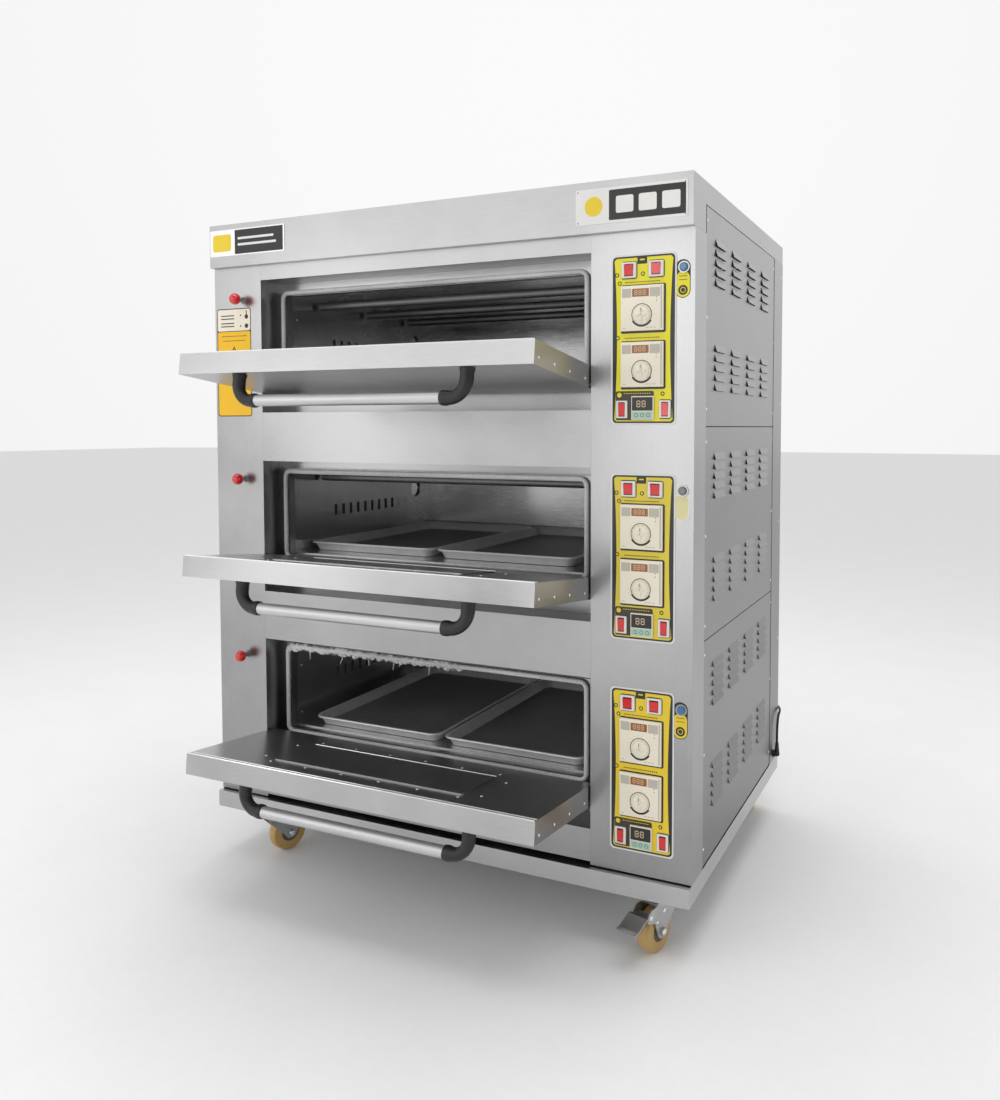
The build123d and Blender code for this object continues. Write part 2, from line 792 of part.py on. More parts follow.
def make_door_handle(deck):
    """A straight tube between two elbows that stand on the door's outer face."""
    foot = hinge_inset + seam
    centre = hinge_inset + handle_standoff
    across = Plane(
        origin=hinge_plane(deck, opening_middle).from_local_coords((0, handle_reach, 0)),
        x_dir=(1, 0, 0),
        z_dir=-hinge_plane(deck, 0).y_dir,
    )
    with BuildPart() as handle:
        tube = Plane(
            origin=across.from_local_coords((-handle_tube_half, centre, 0)),
            z_dir=(1, 0, 0),
        )
        with BuildSketch(tube):
            Circle(handle_tube_radius)
            Circle(handle_tube_radius - 1.5, mode=Mode.SUBTRACT)
        extrude(amount=2 * handle_tube_half)
        for side in (-1, 1):
            inner = side * (handle_tube_half + seam)
            outer = inner + side * handle_bend_radius
            with BuildLine(across) as route:
                FilletPolyline(
                    (inner, centre),
                    (outer, centre),
                    (outer, foot),
                    radius=handle_bend_radius - 2.0,
                )
            start = Plane(
                origin=across.from_local_coords((inner, centre, 0)),
                x_dir=across.y_dir,
                z_dir=(side, 0, 0),
            )
            with BuildSketch(start):
                Circle(handle_bracket_radius)
            sweep(path=route.wires()[0])
    save(handle.part, f"door_handle_{deck_names[deck]}")


# ---- baking trays: pressed pans with a rolled rim ----
def make_tray(deck_name, side):
    spot_x, spot_y = tray_spots[deck_name][side]
    floor_z = opening_z[deck_names.index(deck_name)] + hearth_top + 0.3
    middle = (left_x + spot_x + tray_width / 2, front_y + spot_y + tray_length / 2)
    base = (tray_width - 36.0, tray_length - 36.0)
    mouth = (tray_width - 18.0, tray_length - 18.0)
    rim_plane = Plane(origin=(middle[0], middle[1], floor_z + tray_height))
    with BuildPart() as tray:
        with BuildSketch(Plane(origin=(middle[0], middle[1], floor_z))):
            RectangleRounded(*base, 22.0)
        with BuildSketch(rim_plane):
            RectangleRounded(*mouth, 28.0)
        loft()
        with BuildSketch(Plane(origin=(middle[0], middle[1], floor_z + tray_height - 3.0))):
            RectangleRounded(tray_width, tray_length, 32.0)
        extrude(amount=3.0)
        with BuildSketch(Plane(origin=(middle[0], middle[1], floor_z + tray_wall))):
            RectangleRounded(base[0] - 2.4, base[1] - 2.4, 21.0)
        with BuildSketch(rim_plane):
            RectangleRounded(mouth[0] - 2.4, mouth[1] - 2.4, 27.0)
        loft(mode=Mode.SUBTRACT)
    save(tray.part, f"tray_{deck_name}_{side}")


# ---- castors ----
front_castors = {
    "left": {"spot": (137.0, 45.0), "heading": (0.35, 0.94)},
    "right": {"spot": (1247.0, 62.0), "heading": (-0.25, -0.97)},
}
rear_castor_spots = {"left": (80.0, 815.0), "right": (1250.0, 815.0)}
castor_plate = (105.0, 85.0, 4.0)
head_top = castor_height - 2.0
fork_top = 118.0
fork_deck = 112.0
pedal_pivot = (82.0, 97.0)


def castor_place(spot):
    """A castor's kingpin axis, from its distance from the cabinet's left and front."""
    return left_x + spot[0], front_y + spot[1]


def unit(heading):
    """A heading of length one."""
    length = math.hypot(*heading)
    return heading[0] / length, heading[1] / length


def fork_plane(place, heading, shift=0.0):
    """Upright plane along a castor's heading: x along it, y up, z along the axle."""
    along = unit(heading)
    across = (along[1], -along[0], 0)
    origin = (place[0] + across[0] * shift, place[1] + across[1] * shift, 0)
    return Plane(origin=origin, x_dir=(along[0], along[1], 0), z_dir=across)


def fork_leg_outline(braked):
    """One fork leg from its top deck down round the axle, with a nose for the pedal pin."""
    Polyline((-26.0, fork_deck + 1.0), (-22.0, 92.0), (23.0, 44.0))
    ThreePointArc((23.0, 44.0), (castor_trail, 35.0), (53.0, 44.0))
    if braked:
        Polyline((53.0, 44.0), (66.0, 78.0), (92.0, 88.0), (92.0, 104.0), (78.0, fork_deck + 1.0))
        Line((78.0, fork_deck + 1.0), (-26.0, fork_deck + 1.0))
    else:
        Polyline((53.0, 44.0), (60.0, 92.0), (58.0, fork_deck + 1.0), (-26.0, fork_deck + 1.0))


def fork_body(place, heading, braked):
    """Both legs of a fork, the deck that joins them and the axle bolt."""
    outside = fork_gap / 2 + fork_plate
    with BuildPart() as body:
        for shift in (-outside, fork_gap / 2):
            with BuildSketch(fork_plane(place, heading, shift)):
                with BuildLine():
                    fork_leg_outline(braked)
                make_face()
            extrude(amount=fork_plate)
        with BuildSketch(fork_plane(place, heading, -outside)):
            with Locations((16.0, (fork_deck + fork_top) / 2)):
                Rectangle(84.0, fork_top - fork_deck)
            with Locations((castor_trail, wheel_radius)):
                Circle(6.0)
        extrude(amount=2 * outside)
        for shift in (-outside - 5.0, outside):
            with BuildSketch(fork_plane(place, heading, shift)):
                with Locations((castor_trail, wheel_radius)):
                    RegularPolygon(9.0, 6)
            extrude(amount=5.0)
    return body.part


def make_castor_fork(name, place, heading):
    body = fork_body(place, heading, True)
    with BuildPart() as fork:
        add(body)
        with BuildSketch(fork_plane(place, heading, -fork_gap / 2 - fork_plate)):
            with Locations(pedal_pivot):
                Circle(4.0)
        extrude(amount=fork_gap + 2 * fork_plate)
        kingpin_hole = (place[0], place[1], fork_deck - 5)
        rod(kingpin_hole, (0, 0, 1), 10.0 + running_clearance, 20, Mode.SUBTRACT)
    save(fork.part, name)


def make_castor_mounts():
    """Top plates and kingpins of the swivelling front castors, and the fixed rear castors' forks."""
    rear_forks = [fork_body(castor_place(spot), (0, 1), False) for spot in rear_castor_spots.values()]
    with BuildPart() as castor_mounts:
        add(rear_forks)
        for castor in front_castors.values():
            x, y = castor_place(castor["spot"])
            mount_plate(x, y)
            rod((x, y, fork_top + 0.5), (0, 0, 1), 28.0, head_top - fork_top)
            rod((x, y, fork_deck - 8.0), (0, 0, 1), 10.0, 20.0)
            rod((x, y, fork_deck - 8.0), (0, 0, 1), 16.0, 7.5)
        for spot in rear_castor_spots.values():
            x, y = castor_place(spot)
            mount_plate(x, y)
            bar((x - 21.0, x + 21.0), (y - 26.0, y + 58.0), (fork_top - 1.0, head_top + 1.0))
    save(castor_mounts.part, "castor_mounts")


def mount_plate(x, y):
    """A castor's top plate with four bolt holes, held to the underside of the base rails."""
    with Locations((x, y, head_top + castor_plate[2] / 2)):
        Box(*castor_plate)
        with GridLocations(80.0, 60.0, 2, 2):
            Cylinder(4.5, 10.0, mode=Mode.SUBTRACT)


def make_wheel(name, place, heading):
    """A wheel with a hub, a dished web and a crowned tread, turned about its axle."""
    plane = fork_plane(place, heading)
    axle = Plane(
        origin=plane.from_local_coords((castor_trail, wheel_radius, 0)),
        x_dir=plane.x_dir,
        z_dir=plane.z_dir,
    )
    half = wheel_width / 2
    section = Plane(origin=axle.origin, x_dir=axle.x_dir, z_dir=-axle.y_dir)
    with BuildPart() as wheel:
        with BuildSketch(section):
            with BuildLine():
                Polyline(
                    (6.0 + running_clearance, -half - 2.0),
                    (14.0, -half - 2.0),
                    (18.0, 4.0 - half),
                    (36.0, 4.0 - half),
                    (39.0, -half),
                    (46.0, -half),
                )
                ThreePointArc((46.0, -half), (wheel_radius, 0.0), (46.0, half))
                Polyline(
                    (46.0, half),
                    (39.0, half),
                    (36.0, half - 4.0),
                    (18.0, half - 4.0),
                    (14.0, half + 2.0),
                    (6.0 + running_clearance, half + 2.0),
                    (6.0 + running_clearance, -half - 2.0),
                )
            make_face()
        revolve(axis=Axis(axle.origin, axle.z_dir))
    save(wheel.part, name)


def make_brake_pedal(name, place, heading):
    """A foot pedal: a bent plate on a hub that turns on the fork's nose pin."""
    hub_half = fork_gap / 2 - 0.6
    pivot_x, pivot_z = pedal_pivot
    with BuildPart() as pedal:
        with BuildSketch(fork_plane(place, heading, -hub_half)):
            with Locations(pedal_pivot):
                Circle(8.0)
        extrude(amount=2 * hub_half)
        with BuildSketch(fork_plane(place, heading, -hub_half)):
            with BuildLine():
                Polyline(
                    (pivot_x, pivot_z + 8.0),
                    (pivot_x + 20.0, pivot_z + 7.0),
                    (pivot_x + 20.0, pivot_z + 3.5),
                    (pivot_x, pivot_z + 4.5),
                    close=True,
                )
            make_face()
        extrude(amount=2 * hub_half)
        with BuildSketch(fork_plane(place, heading, -25.0)):
            with BuildLine():
                Polyline(
                    (pivot_x + 14.0, pivot_z + 7.3),
                    (pivot_x + 20.0, pivot_z + 7.0),
                    (pivot_x + 54.0, pivot_z - 8.0),
                    (pivot_x + 68.0, pivot_z - 8.5),
                    (pivot_x + 68.0, pivot_z - 12.0),
                    (pivot_x + 53.0, pivot_z - 11.5),
                    (pivot_x + 19.0, pivot_z + 3.5),
                    (pivot_x + 14.0, pivot_z + 3.8),
                    close=True,
                )
            make_face()
        extrude(amount=50.0)
        with BuildSketch(fork_plane(place, heading, -hub_half - 1.0)):
            with Locations(pedal_pivot):
                Circle(4.0 + running_clearance)
        extrude(amount=2 * hub_half + 2.0, mode=Mode.SUBTRACT)
    save(pedal.part, name)


# ---- power cord: elbow gland, lead over its hook, coil on the floor and plug ----
lead_offset = 11.0
sleeve_length = 34.0
cord_rest_z = cord_radius + 0.3
coil_centre = (right_x - 140.0, rear_y + 182.0)
cord_exit = (right_x + lead_offset, gland_spot[0], gland_spot[1] + sleeve_length)
cord_route = [
    cord_exit,
    (right_x + lead_offset, gland_spot[0], base_z + 176.0),
    (right_x + lead_offset, rear_y + 10.0, base_z + 188.0),
    (right_x - 47.0, rear_y + 63.0, base_z + 188.0),
    (right_x - 49.0, rear_y + 64.0, base_z + 70.0),
    (right_x - 66.0, rear_y + 63.0, base_z - 38.0),
    (right_x - 90.0, rear_y + 78.0, cord_rest_z),
    (right_x - 90.5, coil_centre[1] - 26.0, cord_rest_z),
]


def unit_vector(start, end):
    """The direction from one point to another."""
    return (Vector(*end) - Vector(*start)).normalized()


def bend_radii(points):
    """The largest tangent arc that each corner of the cord's route has room for."""
    radii = []
    for before, here, after in zip(points, points[1:], points[2:]):
        turn = unit_vector(before, here).get_angle(unit_vector(here, after))
        shorter = min((Vector(*here) - Vector(*before)).length, (Vector(*after) - Vector(*here)).length)
        radii.append(0.45 * shorter / math.tan(math.radians(turn) / 2))
    return radii


def make_power_cord():
    radii = bend_radii(cord_route)
    print("bend radii", [round(radius, 1) for radius in radii])
    with BuildPart() as power_cord:
        with BuildLine() as route:
            FilletPolyline(*cord_route, radius=radii)
        path = route.wires()[0]
        with BuildSketch(Plane(origin=cord_route[0], z_dir=unit_vector(*cord_route[:2]))):
            Circle(cord_radius)
        sweep(path=path)
    section = math.pi * cord_radius**2 * path.length
    print("cord length", round(path.length, 1), "volume share", power_cord.part.volume / section)
    save(power_cord.part, "power_cord")


def make_cord_coil():
    """The outer shape of the cord's coil, lying on the floor behind the oven."""
    with BuildPart() as cord_coil:
        with BuildSketch(Plane(origin=(*coil_centre, 0.3))):
            Circle(coil_outer_radius)
            Circle(coil_inner_radius, mode=Mode.SUBTRACT)
        extrude(amount=coil_height)
    save(cord_coil.part, "cord_coil")


def make_power_plug():
    """A moulded mains plug with two round pins, lying beside the coil."""
    x, y = coil_centre[0] - coil_outer_radius - 22.0, coil_centre[1] - 18.5
    with BuildPart() as power_plug:
        with BuildSketch(Plane(origin=(x, y, 14.3), x_dir=(1, 0, 0), z_dir=(0, -1, 0))):
            RectangleRounded(36.0, 28.0, 8.0)
        with BuildSketch(Plane(origin=(x, y + 34.0, 14.3), x_dir=(1, 0, 0), z_dir=(0, -1, 0))):
            RectangleRounded(18.0, 16.0, 6.0)
        loft()
        for pin_x in (x - 9.5, x + 9.5):
            rod((pin_x, y, 14.3), (0, -1, 0), 2.4, 19.0)
    save(power_plug.part, "power_plug")


def make_cord_gland():
    """The elbow gland: a stub through the side panel, its nut and a tapered sleeve pointing up."""
    stub_radius = 8.0
    y, z = gland_spot
    elbow = (right_x + lead_offset, y, z)
    with BuildPart() as cord_gland:
        rod((right_x - 10.0, y, z), (1, 0, 0), stub_radius, 10.0 + lead_offset)
        with BuildSketch(Plane(origin=(right_x + seam, y, z), z_dir=(1, 0, 0))):
            RegularPolygon(11.0, 6)
        extrude(amount=5.0)
        with Locations(elbow):
            Sphere(stub_radius)
        with Locations(Plane(origin=elbow)):
            Cone(7.5, 4.6, sleeve_length, align=(Align.CENTER, Align.CENTER, Align.MIN))
    save(cord_gland.part, "cord_gland")


make_base_frame()
make_top_cover()
make_left_column()
make_control_column()
make_louvre_panels()
make_rear_panel()
make_front_frames()
make_chamber_liners()
make_door_gaskets()
make_gas_burners()
make_insulation()
make_control_plates()
make_panel_instruments()
for deck, opening in enumerate(opening_z):
    deck_name = deck_names[deck]
    make_door(deck)
    make_door_handle(deck)
    make_button(f"steam_button_{deck_name}", opening)
    make_damper(f"damper_pull_{deck_name}", opening)
    for place, offset_x, offset_z, size in rocker_spots():
        make_rocker(f"rocker_{deck_name}_{place}", *plate_point(opening, offset_x, offset_z), size)
    for label, height in zip(("low", "high"), controller_heights):
        middle = plate_point(opening, controller_x, height + controller_side / 2)
        dial_z = middle[1] - controller_body / 2 + dial_height
        make_dial(f"dial_{deck_name}_{label}", middle[0], dial_z)
for deck_name, sides in tray_spots.items():
    for side in sides:
        make_tray(deck_name, side)
make_castor_mounts()
for side, castor in front_castors.items():
    place = castor_place(castor["spot"])
    make_castor_fork(f"castor_fork_{side}", place, castor["heading"])
    make_wheel(f"wheel_front_{side}", place, castor["heading"])
    make_brake_pedal(f"brake_pedal_{side}", place, castor["heading"])
for side, spot in rear_castor_spots.items():
    make_wheel(f"wheel_rear_{side}", castor_place(spot), (0, 1))
make_cord_gland()
make_power_cord()
make_cord_coil()
make_power_plug()
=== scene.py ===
"""The looks of a three-deck bakery oven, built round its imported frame. Lengths are in metres."""

import json
import math
import random

import bmesh
import bpy
from mathutils import Matrix, Vector


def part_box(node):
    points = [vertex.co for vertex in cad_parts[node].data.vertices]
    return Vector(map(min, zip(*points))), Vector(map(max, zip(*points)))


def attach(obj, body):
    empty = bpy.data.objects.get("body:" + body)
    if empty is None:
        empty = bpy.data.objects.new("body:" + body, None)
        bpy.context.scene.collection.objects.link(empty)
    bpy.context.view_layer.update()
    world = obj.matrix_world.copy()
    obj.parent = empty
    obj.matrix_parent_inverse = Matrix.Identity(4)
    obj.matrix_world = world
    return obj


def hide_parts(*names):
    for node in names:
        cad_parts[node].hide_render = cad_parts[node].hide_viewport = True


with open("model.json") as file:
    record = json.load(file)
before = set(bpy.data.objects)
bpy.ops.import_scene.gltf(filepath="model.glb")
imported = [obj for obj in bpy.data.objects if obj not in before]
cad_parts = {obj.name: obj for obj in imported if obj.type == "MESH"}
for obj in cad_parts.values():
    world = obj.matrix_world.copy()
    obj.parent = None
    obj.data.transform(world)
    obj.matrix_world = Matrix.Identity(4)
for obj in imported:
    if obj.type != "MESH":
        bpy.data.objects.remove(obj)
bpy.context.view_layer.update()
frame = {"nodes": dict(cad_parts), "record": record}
chance = random.Random(11)

# ---- places, from the frame ----
DECKS = ("lower", "middle", "upper")
JOINTS = {joint["name"]: joint for joint in frame["record"]["behaviour"]["joints"]}
HINGES = {deck: Vector(JOINTS[f"door_{deck}_hinge"]["pos_m"]) for deck in DECKS}
TILTS = {deck: math.radians(90 - JOINTS[f"door_{deck}_hinge"]["range_deg"][1]) for deck in DECKS}
HINGE_INSET = 0.008
HINGE_HEIGHT = 0.056
DEPTH = 0.890
BASE_Z = 0.130
ROOF_Z = BASE_Z + 1.560
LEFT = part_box("left_column")[0].x
RIGHT = -LEFT
FRONT = HINGES["lower"].y - HINGE_INSET
REAR = FRONT + DEPTH
OPENING_Z = {deck: HINGES[deck].z - HINGE_HEIGHT for deck in DECKS}
MIDDLE_X = HINGES["lower"].x
OPENING_LEFT = LEFT + 0.158
OPENING_RIGHT = RIGHT - 0.236
HEADER_Y = FRONT - 0.015
# the mouth of a chamber, in from its opening's left and right and up from its foot
MOUTH_LEFT, MOUTH_RIGHT = 0.032, 0.041
MOUTH_LOW, MOUTH_HIGH = 0.091, 0.308
# how thick printed films on plates and on labels are
PRINT = 0.00005
FILM = 0.00006


# ---- camera, light and floor ----
def add_camera():
    right = Vector((0.91381, 0.40614, 0.00103))
    forward = Vector((-0.40568, 0.91288, -0.04548))
    up = right.cross(forward)
    data = bpy.data.cameras.new("camera")
    data.sensor_width = 36.0
    data.lens = 29.917
    data.shift_x = -0.0721
    data.shift_y = -0.0743
    data.clip_end = 50.0
    camera = bpy.data.objects.new("camera", data)
    bpy.context.scene.collection.objects.link(camera)
    turn = Matrix((right, up, -forward)).transposed()
    place = Vector((LEFT + 1.8898, FRONT - 1.8540, BASE_Z + 1.0317))
    camera.matrix_world = Matrix.Translation(place) @ turn.to_4x4()
    bpy.context.scene.camera = camera


def add_area(name, place, target, size, power):
    data = bpy.data.lights.new(name, "AREA")
    data.shape = "RECTANGLE"
    data.size, data.size_y = size
    data.energy = power
    light = bpy.data.objects.new(name, data)
    bpy.context.scene.collection.objects.link(light)
    light.location = place
    light.rotation_euler = (Vector(target) - Vector(place)).to_track_quat("-Z", "Y").to_euler()


def add_world():
    """A studio that is brightest behind and above the oven and darker on its right."""
    world = bpy.data.worlds.new("studio")
    bpy.context.scene.world = world
    world.use_nodes = True
    tree = world.node_tree
    background = tree.nodes["Background"]
    background.inputs["Color"].default_value = (1, 1, 1, 1)
    coordinates = tree.nodes.new("ShaderNodeTexCoord")
    split = tree.nodes.new("ShaderNodeSeparateXYZ")
    tree.links.new(coordinates.outputs["Generated"], split.inputs[0])
    total = None
    for axis, low, high in (("X", 0.10, -0.12), ("Y", -0.30, 0.16), ("Z", -0.05, 0.14)):
        spread = tree.nodes.new("ShaderNodeMapRange")
        spread.inputs["From Min"].default_value = -1.0
        spread.inputs["To Min"].default_value = low
        spread.inputs["To Max"].default_value = high
        tree.links.new(split.outputs[axis], spread.inputs["Value"])
        add = tree.nodes.new("ShaderNodeMath")
        add.operation = "ADD"
        add.inputs[1].default_value = 0.72
        if total:
            tree.links.new(total, add.inputs[1])
        tree.links.new(spread.outputs["Result"], add.inputs[0])
        total = add.outputs[0]
    tree.links.new(total, background.inputs["Strength"])


# ---- materials ----
def add_node(tree, kind, **values):
    """A shader node with its named inputs set."""
    node = tree.nodes.new(f"ShaderNode{kind}")
    for socket, value in values.items():
        node.inputs[socket.replace("_", " ")].default_value = value
    return node


def surface(name, dark, light, rough=(0.3, 0.4), stretch=(1, 1, 1), grain=40.0, bump=0.0, foot_shade=1.0, **fixed):
    """A material whose colour, roughness and relief follow a stretched grain and soft patches.

    The colour darkens towards the foot of the oven as painted shade, scaled there by the given factor against
    1 at its roof.
    """
    made = bpy.data.materials.new(name)
    made.use_nodes = True
    tree = made.node_tree
    shader = tree.nodes["Principled BSDF"]
    for socket, value in fixed.items():
        shader.inputs[socket.replace("_", " ")].default_value = value
    coordinates = tree.nodes.new("ShaderNodeTexCoord")
    mapping = add_node(tree, "Mapping", Scale=stretch)
    tree.links.new(coordinates.outputs["Object"], mapping.inputs["Vector"])
    noise = add_node(tree, "TexNoise", Scale=grain, Detail=5.0)
    tree.links.new(mapping.outputs[0], noise.inputs["Vector"])
    patches = add_node(tree, "TexNoise", Scale=4.5, Detail=3.0)
    tree.links.new(coordinates.outputs["Object"], patches.inputs["Vector"])
    blend = tree.nodes.new("ShaderNodeMath")
    blend.operation = "MULTIPLY_ADD"
    blend.inputs[1].default_value = 0.45
    tree.links.new(noise.outputs["Fac"], blend.inputs[0])
    half = tree.nodes.new("ShaderNodeMath")
    half.operation = "MULTIPLY"
    half.inputs[1].default_value = 0.55
    tree.links.new(patches.outputs["Fac"], half.inputs[0])
    tree.links.new(half.outputs[0], blend.inputs[2])
    ramp = tree.nodes.new("ShaderNodeValToRGB")
    ramp.color_ramp.elements[0].position = 0.32
    ramp.color_ramp.elements[1].position = 0.68
    ramp.color_ramp.elements[0].color = (*dark, 1)
    ramp.color_ramp.elements[1].color = (*light, 1)
    tree.links.new(blend.outputs[0], ramp.inputs[0])
    height = tree.nodes.new("ShaderNodeSeparateXYZ")
    tree.links.new(coordinates.outputs["Object"], height.inputs[0])
    # painted shade: the colour is scaled down towards the foot of the oven
    foot_shade_ramp = add_node(tree, "MapRange", From_Min=BASE_Z, From_Max=ROOF_Z, To_Min=foot_shade)
    tree.links.new(height.outputs["Z"], foot_shade_ramp.inputs["Value"])
    tint = tree.nodes.new("ShaderNodeVectorMath")
    tint.operation = "SCALE"
    tree.links.new(ramp.outputs[0], tint.inputs[0])
    tree.links.new(foot_shade_ramp.outputs["Result"], tint.inputs["Scale"])
    tree.links.new(tint.outputs[0], shader.inputs["Base Color"])
    spread = add_node(tree, "MapRange", From_Min=0.3, From_Max=0.7, To_Min=rough[0], To_Max=rough[1])
    tree.links.new(blend.outputs[0], spread.inputs["Value"])
    tree.links.new(spread.outputs["Result"], shader.inputs["Roughness"])
    if bump:
        relief = tree.nodes.new("ShaderNodeBump")
        relief.inputs["Strength"].default_value = bump
        relief.inputs["Distance"].default_value = 0.0006
        tree.links.new(noise.outputs["Fac"], relief.inputs["Height"])
        tree.links.new(relief.outputs[0], shader.inputs["Normal"])
    return made


def grey(level):
    return (level, level, level * 1.004)


def steel(name, low, high, stretch, rough=(0.26, 0.38), bump=0.05, foot_shade=1.0, metallic=1.0):
    return surface(name, grey(low), grey(high), rough, stretch, 30.0, bump, foot_shade, Metallic=metallic)


def plastic(name, colour, rough=(0.35, 0.5), bump=0.08, **fixed):
    dark = tuple(0.86 * part for part in colour)
    return surface(name, dark, colour, rough, (1, 1, 1), 900.0, bump, **fixed)


ACROSS = (1, 6, 60)
UPRIGHT = (60, 60, 1)
M = {
    "front": steel("steel_front", 0.44, 0.56, ACROSS),
    # the foot factors of these steels are painted shade, darker towards the bottom
    "column": steel("steel_column", 0.46, 0.60, UPRIGHT, foot_shade=0.60),
    "side": steel("steel_side", 0.38, 0.52, UPRIGHT, (0.26, 0.40), 0.09, 0.42),
    "sill": steel("steel_sill", 0.44, 0.58, ACROSS, foot_shade=0.66),
    "door": steel("steel_door", 0.46, 0.60, (1, 50, 50), foot_shade=0.80),
    "bright": steel("steel_bright", 0.84, 0.95, (1, 1, 1), (0.12, 0.22), metallic=0.6),
    "chamber": steel("steel_chamber", 0.42, 0.68, (1, 12, 12), (0.14, 0.30), 0.12, metallic=0.9),
    "burner": steel("steel_burner", 0.18, 0.32, (20, 1, 1), (0.4, 0.6), 0.2),
    "zinc": steel("zinc", 0.38, 0.56, (1, 1, 1), (0.25, 0.42), 0.1),
    "pedal": steel("pedal", 0.30, 0.46, (1, 1, 1), (0.25, 0.4), 0.1),
    "chrome": steel("chrome", 0.80, 0.92, (1, 1, 1), (0.06, 0.14), 0.0),
    "satin": surface(
        "satin_tube", grey(0.50), grey(0.62), (0.3, 0.42), (1, 40, 40), 60.0, 0.04, Metallic=0.75
    ),
    "tray_rim": steel("tray_rim", 0.80, 0.95, (1, 1, 1), (0.28, 0.42), 0.1, metallic=0.45),
    "tray_floor": steel("tray_floor", 0.20, 0.34, (3, 3, 1), (0.4, 0.6), 0.2, metallic=0.4),
    "rope": surface("rope", grey(0.42), grey(0.92), (0.85, 1.0), (1, 1, 1), 420.0, 1.0, Sheen_Weight=0.3),
    "wool": surface("wool", (0.10, 0.09, 0.06), (0.20, 0.18, 0.12), (0.9, 1.0), (1, 1, 1), 300.0, 0.9),
    "plate": plastic("plate_edge", (0.80, 0.80, 0.78), (0.3, 0.4)),
    "black": plastic("black_plastic", (0.012, 0.012, 0.013), (0.34, 0.50), 0.15),
    "ink": plastic("ink", (0.018, 0.017, 0.016), (0.3, 0.4), 0.0),
    "brown": plastic("brown_ink", (0.050, 0.036, 0.022), (0.3, 0.4), 0.0),
    "cream": plastic("cream_plastic", (0.95, 0.88, 0.72), (0.34, 0.46)),
    "cream_shade": plastic("cream_shade", (0.56, 0.52, 0.44), (0.34, 0.46)),
    "white": plastic("white_plastic", (0.86, 0.85, 0.82), (0.25, 0.35)),
    "red": plastic("red_plastic", (0.78, 0.008, 0.014), (0.16, 0.26), 0.0, Coat_Weight=0.6),
    "ball": plastic("red_ball", (0.78, 0.004, 0.010), (0.10, 0.18), 0.0, Coat_Weight=1.0),
    "blue": plastic("blue_plastic", (0.030, 0.17, 0.33), (0.2, 0.3), 0.0, Coat_Weight=0.5),
    "grey_cap": plastic("grey_plastic", (0.16, 0.17, 0.17), (0.25, 0.35), 0.0, Coat_Weight=0.4),
    "amber": plastic("amber", (0.34, 0.11, 0.02), (0.2, 0.3), 0.0),
    "digit": plastic("digit", (0.80, 0.62, 0.36), (0.3, 0.4), 0.0),
    "green": plastic("green_keys", (0.42, 0.62, 0.50), (0.35, 0.45), 0.0),
    "tread": plastic("tread", (0.56, 0.36, 0.13), (0.32, 0.45), 0.1),
    "hub": plastic("hub", (0.10, 0.09, 0.07), (0.4, 0.5)),
    "cable": plastic("cable", (0.012, 0.012, 0.013), (0.45, 0.6), 0.2),
    "yellow_upper": plastic("yellow_upper", (0.88, 0.79, 0.008), (0.3, 0.4), 0.02),
    "yellow_middle": plastic("yellow_middle", (0.80, 0.64, 0.035), (0.3, 0.4), 0.02),
    "yellow_lower": plastic("yellow_lower", (0.90, 0.66, 0.020), (0.3, 0.4), 0.02),
    "sticker": plastic("sticker_yellow", (0.98, 0.56, 0.004), (0.4, 0.5), 0.02),
    "faded": plastic("faded_label", (0.82, 0.76, 0.42), (0.4, 0.5), 0.02),
}

NODE_MATERIALS = {
    "base_frame": "front",
    "top_cover": "front",
    "left_column": "column",
    "control_column": "column",
    "louvre_panels": "side",
    "rear_panel": "side",
    "front_frames": "sill",
    "chamber_liners": "chamber",
    "gas_burners": "burner",
    "insulation": "wool",
    "control_plates": "plate",
    "panel_instruments": "cream",
    "castor_mounts": "zinc",
    "cord_gland": "black",
    "castor_fork_left": "zinc",
    "castor_fork_right": "zinc",
    "brake_pedal_left": "pedal",
    "brake_pedal_right": "pedal",
}
for deck in DECKS:
    NODE_MATERIALS[f"door_{deck}"] = "door"
    NODE_MATERIALS[f"damper_pull_{deck}"] = "chrome"
    NODE_MATERIALS[f"steam_button_{deck}"] = "grey_cap" if deck == "middle" else "blue"
    for spot in ("top_left", "top_right", "low_left", "low_right"):
        NODE_MATERIALS[f"rocker_{deck}_{spot}"] = "red"


EDGED = ["base_frame", "top_cover", "left_column", "control_column", "front_frames", "castor_fork_left",
         "castor_fork_right", "brake_pedal_left", "brake_pedal_right", *(f"door_{deck}" for deck in DECKS)]


def soften(obj):
    """Gives folded and cut edges the small radius that catches the light."""
    bevel = obj.modifiers.new("edges", "BEVEL")
    bevel.width = 0.0006
    bevel.segments = 2
    bevel.limit_method = "ANGLE"
    bevel.angle_limit = math.radians(40)


def paint(obj, material):
    obj.data.materials.clear()
    obj.data.materials.append(material)


